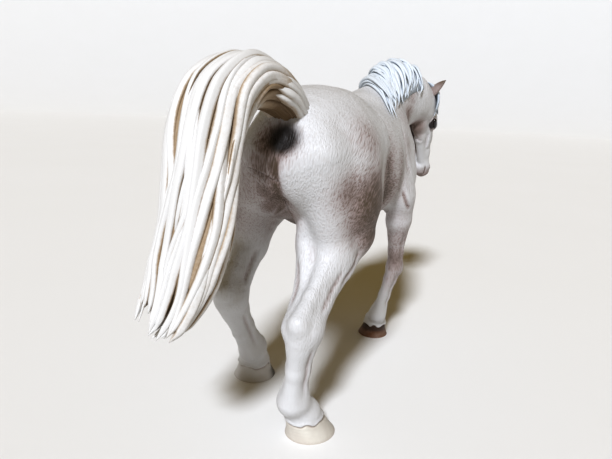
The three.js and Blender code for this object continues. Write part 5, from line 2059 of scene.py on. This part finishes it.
@dataclass
class Tail:
    """A bundle of thick wavy locks over a washed core, and short locks that spread on the rump."""

    finish: Material
    width: float = 0.0175
    thickness: float = 0.0095
    locks: int = 27
    lobes: int = 7
    thin_locks: int = 14
    fringe: int = 13
    steps: int = 120
    sides: int = 18
    core_share: float = 0.9
    core_end_share: float = 0.93
    core_rings: int = 90
    core_sides: int = 48
    sway: float = 0.34
    sway_rate: float = 9.4
    sway_start: float = 0.6
    least_size: float = 0.00005
    thin_size: Row = (0.00042, 0.00072)
    fringe_size: Row = (0.00125, 0.00165)
    fringe_reach: Row = (0.0014, 0.0022)
    fringe_lifts: Row = (0.0006, 0.0005, 0.0002)
    fringe_sag: Row = (0.0012, 0, -0.0006)
    seed: int = 7

    def __post_init__(self) -> None:
        """Lays the bundle's middle line."""
        self.table = np.array([*TAIL_SHARES, TAIL_TIP_SHARES])
        stations = HORSE.place(self.table[:, :3])
        self.curve = SmoothCurve(stations)
        nearest = [np.linalg.norm(self.curve.samples - s, axis=1).argmin() for s in stations]
        self.station_shares = self.curve.shares[np.array(nearest)]

    def section(self, shares: Array) -> tuple[Array, Array]:
        """Half width and half thickness of the bundle at shares of its length."""
        inside = np.clip(shares, 0, 1)
        wide = np.interp(inside, self.station_shares, self.table[:, 3]) * self.width
        deep = np.interp(inside, self.station_shares, self.table[:, 4]) * self.thickness
        return wide, deep

    def axes(self, shares: Array) -> tuple[Array, Array]:
        """Across the bundle, sideways and up from it."""
        run = self.curve.tangent(shares)
        wide = across(LATERAL, run)
        return wide, np.cross(run, wide)

    def _strand(self, angles: Array, inset: Array, shares: Array, size: Array, flatness: float,
                phase: Array) -> Surface:
        """One lock along the bundle at an angle round it, set in from its outline.

        Args:
            angles: Angle round the bundle, one for each step.
            inset: How far in from the outline its middle lies, in shares of the outline.
            shares: Shares of the bundle's length.
            size: Half width of the lock at each step.
            flatness: Its thickness over its width.
            phase: Turn of its fine ridges.

        Returns:
            The lock.
        """
        wide_size, deep_size = self.section(shares)
        wide, high = self.axes(shares)
        keep = 1 - inset
        x, y = np.cos(angles) * wide_size * keep, np.sin(angles) * deep_size * keep
        centre = self.curve.at(shares) + x[:, None] * wide + y[:, None] * high
        normal_x, normal_y = np.cos(angles) / wide_size, np.sin(angles) / deep_size
        outward = unit(normal_x[:, None] * wide + normal_y[:, None] * high)
        lock = tube(centre, outward, size, flatness, self.sides, 0.09, phase)
        tip = self._spread(smooth_step(shares, 0.9, 0.98), (0, 1))
        groove = smooth_step(-lock.values["crest"], -0.85, 0.1) * (1 - 0.85 * tip)
        # Painted shade: the bundle's right side, its underside near the root and its root are washed darker
        # where shade falls; the root and underside are partly the figurine's dark wash too.
        painted_side_shade = self._spread(smooth_step(-np.cos(angles), 0.35, 0.95))
        under = self._spread(outward[:, 2] < -0.1)
        along = self._spread(shares, (shares[0], shares[-1]))
        root = smooth_step(-along, -0.24, -0.05)
        painted_under_shade = smooth_step(-along, -0.4, -0.1) * under
        return lock.washed_and_shaded(0.72 * groove + 0.55 * root + 0.7 * painted_under_shade + 0.22 * painted_side_shade)

    def _spread(self, values: Array, poles: Row = (0, 0)) -> Array:
        """Values of a lock's rings and of its two poles, one for each of its points."""
        return np.concatenate([np.repeat(values, self.sides), poles])

    def _sway(self, shares: Array) -> Array:
        """How far all locks swing round the bundle, as sway s sin(sway_rate s + sway_start)."""
        return self.sway * np.sin(shares * self.sway_rate + self.sway_start) * shares

    def _main_lock(self, rng: np.random.Generator, turn: float) -> Surface:
        """A thick lock: it sways slowly, and its tip gathers with its neighbours' into a lobe."""
        pitch = 2 * math.pi / self.lobes
        lobe = round(turn / pitch)
        end = 1 - 0.055 * (0.5 + 0.5 * math.sin(lobe * 2.4)) + rng.uniform(-0.015, 0.006)
        shares = np.linspace(rng.uniform(0.0, 0.04), end, self.steps)
        own = rng.uniform(0.05, 0.13) * np.sin(shares * rng.uniform(9, 17) + rng.uniform(0, 6))
        gather = (lobe * pitch - turn) * 0.25 * smooth_step(shares, 0.85, 1.0)
        angles = turn + self._sway(shares) + own * smooth_step(shares, 0, 0.25) + gather
        wide_size, deep_size = self.section(shares)
        around = math.pi * (wide_size + deep_size) / self.locks
        run = (shares - shares[0]) / (end - shares[0])
        size = around * rng.uniform(0.6, 0.8) * tapered(run, 0.05, 0.035)
        size = np.maximum(size, self.least_size)
        inset = 0.12 + 0.05 * np.sin(shares * rng.uniform(6, 12) + rng.uniform(0, 6))
        inset += 0.16 * smooth_step(shares, 0.93, 1.02)
        phase = rng.uniform(0, 6) + shares * rng.uniform(-6, 6)
        return self._strand(angles, inset, shares, size, 0.95, phase)

    def _thin_lock(self, rng: np.random.Generator) -> Surface:
        """A thin lock that crosses over the grooves between the thick ones."""
        start = rng.uniform(0.05, 0.55)
        end = min(start + rng.uniform(0.3, 0.6), 0.98)
        shares = np.linspace(start, end, self.steps)
        run = (shares - start) / (end - start)
        turn = rng.uniform(0, 2 * math.pi)
        angles = turn + self._sway(shares) + rng.uniform(-0.35, 0.35) * smooth_step(run, 0, 1)
        size = rng.uniform(*self.thin_size) * np.sin(math.pi * np.clip(run, 0.01, 0.99)) ** 0.5
        inset = 0.02 + 0.2 * (np.abs(run - 0.5) * 2) ** 3
        return self._strand(angles, inset, shares, size, 0.8, shares * 9)

    def _core(self) -> Surface:
        """The washed body under the locks, so that no light shows through the bundle."""
        shares = np.linspace(0, self.core_end_share, self.core_rings)
        wide_size, deep_size = self.section(shares)
        wide, high = self.axes(shares)
        shrink = self.core_share * (1 - 0.5 * smooth_step(shares, 0.82, self.core_end_share))
        angles = full_turn(self.core_sides)
        x = np.cos(angles) * (wide_size * shrink)[:, None]
        y = np.sin(angles) * (deep_size * shrink)[:, None]
        rows = self.curve.at(shares)[:, None] + x[..., None] * wide[:, None] + y[..., None] * high[:, None]
        full = np.ones(rows.shape[:2])
        return closed_rows(rows, rows[0].mean(0), rows[-1].mean(0), {"crest": full * 0, "wash": full * 0.6})

    def _fringe_lock(self, rng: np.random.Generator, turn: float) -> Surface:
        """A short pointed lock from the dock out over the rump, lying on the skin.

        It leaves the bundle at an angle round it, and its tip lies where a ray from inside
        the rump, tilted the same way, leaves the skin.
        """
        along = np.array([0.01, 0.1, 0.2])
        base = self.curve.at(along)
        wide_size, deep_size = self.section(along)
        wide, high = self.axes(along)
        ring = np.cos(turn) * wide * wide_size[:, None] + np.sin(turn) * high * deep_size[:, None]
        roots = (base + ring * 0.92)[::-1]
        inner = HORSE.place((-0.36, 0, 0.84))
        spread = unit(np.cos(turn) * wide[0] + np.sin(turn) * high[0])
        reach = rng.uniform(*self.fringe_reach)
        targets = base[0] + spread * np.array([0.45, 0.75, 1.0])[:, None] * reach
        targets = targets + np.array(self.fringe_sag) * np.arange(3)[:, None] * rng.uniform(0.3, 1.5)
        rays = unit(targets - inner)
        reaches = march(SKIN, np.broadcast_to(inner, rays.shape), rays) + self.fringe_lifts
        on_skin = inner + rays * reaches[:, None]
        shares = np.linspace(0, 1, 46)
        line = SmoothCurve(np.vstack([roots, on_skin]), steps=40).at(shares)
        outward = unit(line - (base[0] - UP * 0.006))
        size = rng.uniform(*self.fringe_size) * tapered(shares, 0.2, 0.22)
        lock = tube(line, outward, size, 0.8, 10, 0.08, shares * 4)
        groove = smooth_step(-lock.values["crest"], -0.4, 0.5)
        return lock.washed_and_shaded(0.45 * groove + 0.1 * smooth_step(0.35 - lock.values["run"], 0, 0.3))

    def build(self) -> Object:
        """Builds the core, the thick locks, the thin ones and the fringe."""
        rng = np.random.default_rng(self.seed)
        parts = [self._core()]
        parts += [self._main_lock(rng, 2 * math.pi * i / self.locks) for i in range(self.locks)]
        parts += [self._thin_lock(rng) for _ in range(self.thin_locks)]
        for i in range(self.fringe):
            share = (i + rng.uniform(-0.3, 0.3)) / (self.fringe - 1)
            parts.append(self._fringe_lock(rng, math.radians(150 + 240 * share)))
        mesh = Surface.joined(parts).to_mesh("tail_locks")
        return shown(mesh, self.finish, Slot.TAIL, "tail")


# The studio


@dataclass
class Studio:
    """A pale round floor that curves up far behind, soft light and the camera."""

    eye: Row = (-0.16574, -0.056388, 0.084757)
    yaw: float = 0.36506
    pitch: float = 0.21969
    roll: float = 0.04711
    lens: float = 33.24
    sensor: float = 36.0
    clip: Row = (0.005, 20)
    floor_middle: float = 0.02
    floor_radius: float = 2.4
    floor_rings: int = 24
    floor_sides: int = 128
    rim_radius: float = 1.4
    rim_turn: float = 1.2
    sky: Row = (1.0, 0.68, 0.17, 1)
    sky_strength: float = 0.21
    key_way: Row = (0.72, 0.1, -0.64)
    key_colour: Row = (0.88, 0.92, 1.0)
    key_strength: float = 5.1
    key_softness: float = 9
    bounce: float = 0.15
    gamma: float = 0.82

    def camera(self) -> None:
        """Looks along the yaw, down by the pitch and turned by the roll."""
        data = bpy.data.cameras.new("camera")
        data.lens, data.sensor_width = self.lens, self.sensor
        data.clip_start, data.clip_end = self.clip
        cos_p, sin_p = math.cos(self.pitch), math.sin(self.pitch)
        ahead = np.array([cos_p * math.cos(self.yaw), cos_p * math.sin(self.yaw), -sin_p])
        level = np.array([math.sin(self.yaw), -math.cos(self.yaw), 0.0])
        rise = np.cross(level, ahead)
        right = math.cos(self.roll) * level + math.sin(self.roll) * rise
        top = math.cos(self.roll) * rise - math.sin(self.roll) * level
        camera = linked("camera", data)
        matrix = np.eye(4)
        matrix[:3, 0], matrix[:3, 1], matrix[:3, 2], matrix[:3, 3] = right, top, -ahead, self.eye
        camera.matrix_world = Matrix(matrix.tolist())
        bpy.context.scene.camera = camera

    def floor(self) -> None:
        """A disc whose edge turns up along an arc into a steep wall, as rings round the middle.

        At the arc's angle b a ring is rim_radius sin(b) wider and rim_radius (1 - cos(b)) high.
        """
        count, sides = self.floor_rings, self.floor_sides
        bend = np.concatenate([np.zeros(count), np.linspace(0, self.rim_turn, count)[1:]])
        flat = np.linspace(self.floor_middle, self.floor_radius, count)
        radii = np.append(flat, np.full(count - 1, self.floor_radius)) + self.rim_radius * np.sin(bend)
        angles = full_turn(sides)
        rows = np.stack([
            np.cos(angles) * radii[:, None],
            np.sin(angles) * radii[:, None],
            self.rim_radius * (1 - np.cos(bend))[:, None] + 0 * angles,
        ], -1)
        light = -unit(np.array(self.key_way, float))
        facing = light[2] * np.cos(bend)[:, None] - np.sin(bend)[:, None] * (
            light[0] * np.cos(angles) + light[1] * np.sin(angles)
        )
        even = (light[2] + self.bounce) / (np.clip(facing, 0, 1) + self.bounce)
        grid = np.arange(rows.shape[0] * sides).reshape(-1, sides)
        after = np.roll(grid, -1, axis=1)
        quads = np.stack([grid[:-1], grid[1:], after[1:], after[:-1]], -1).reshape(-1, 4)
        centre = np.full(sides, grid.size)
        fan = np.stack([centre, grid[0], after[0]], -1)
        surface = Surface(np.vstack([rows.reshape(-1, 3), [[0, 0, 0]]]), quads, fan)
        mesh = surface.to_mesh("floor")
        painted(mesh, mesh_points(mesh), {"even": np.append(np.clip(even, 0, 1).ravel(), 1)})
        mesh.materials.append(PalePaper().material("pale_paper"))
        linked("floor", mesh)

    def key(self) -> None:
        """A wide soft lamp behind the camera, so far off that it lights everything evenly."""
        data = bpy.data.lights.new("key", "SUN")
        data.energy, data.color = self.key_strength, self.key_colour
        data.angle = math.radians(self.key_softness)
        lamp = linked("key", data)
        lamp.rotation_mode = "QUATERNION"
        lamp.rotation_quaternion = Vector(self.key_way).to_track_quat("-Z", "Y")

    def build(self) -> None:
        """Sets the camera, the floor, the warm sky and the cool key light."""
        self.camera()
        self.floor()
        world = bpy.data.worlds.new("studio")
        world.use_nodes = True
        background = world.node_tree.nodes["Background"]
        background.inputs["Color"].default_value = self.sky
        background.inputs["Strength"].default_value = self.sky_strength
        bpy.context.scene.world = world
        bpy.context.scene.view_settings.view_transform = "Standard"
        bpy.context.scene.view_settings.gamma = self.gamma
        self.key()


def main() -> None:
    """Builds the studio and every piece of the figurine, in order."""
    logging.basicConfig(level=logging.INFO, format="%(name)s %(message)s")
    Studio().build()
    coat = Coat()
    paint = PaintedCoat().material("painted_coat")
    Torso(coat, paint).build()
    for name in LEGS:
        Leg(name, coat, paint).build()
    HeadAndNeck(coat, paint).build()
    gloss = GlossyEye().material("varnished_eye")
    for side in (-1, 1):
        Eye(side, gloss).build()
    mane = MANE_HAIR.material("painted_mane")
    Mane(mane).build()
    Forelock(mane).build()
    Tail(TAIL_HAIR.material("painted_tail")).build()


if __name__ == "__main__":
    main()
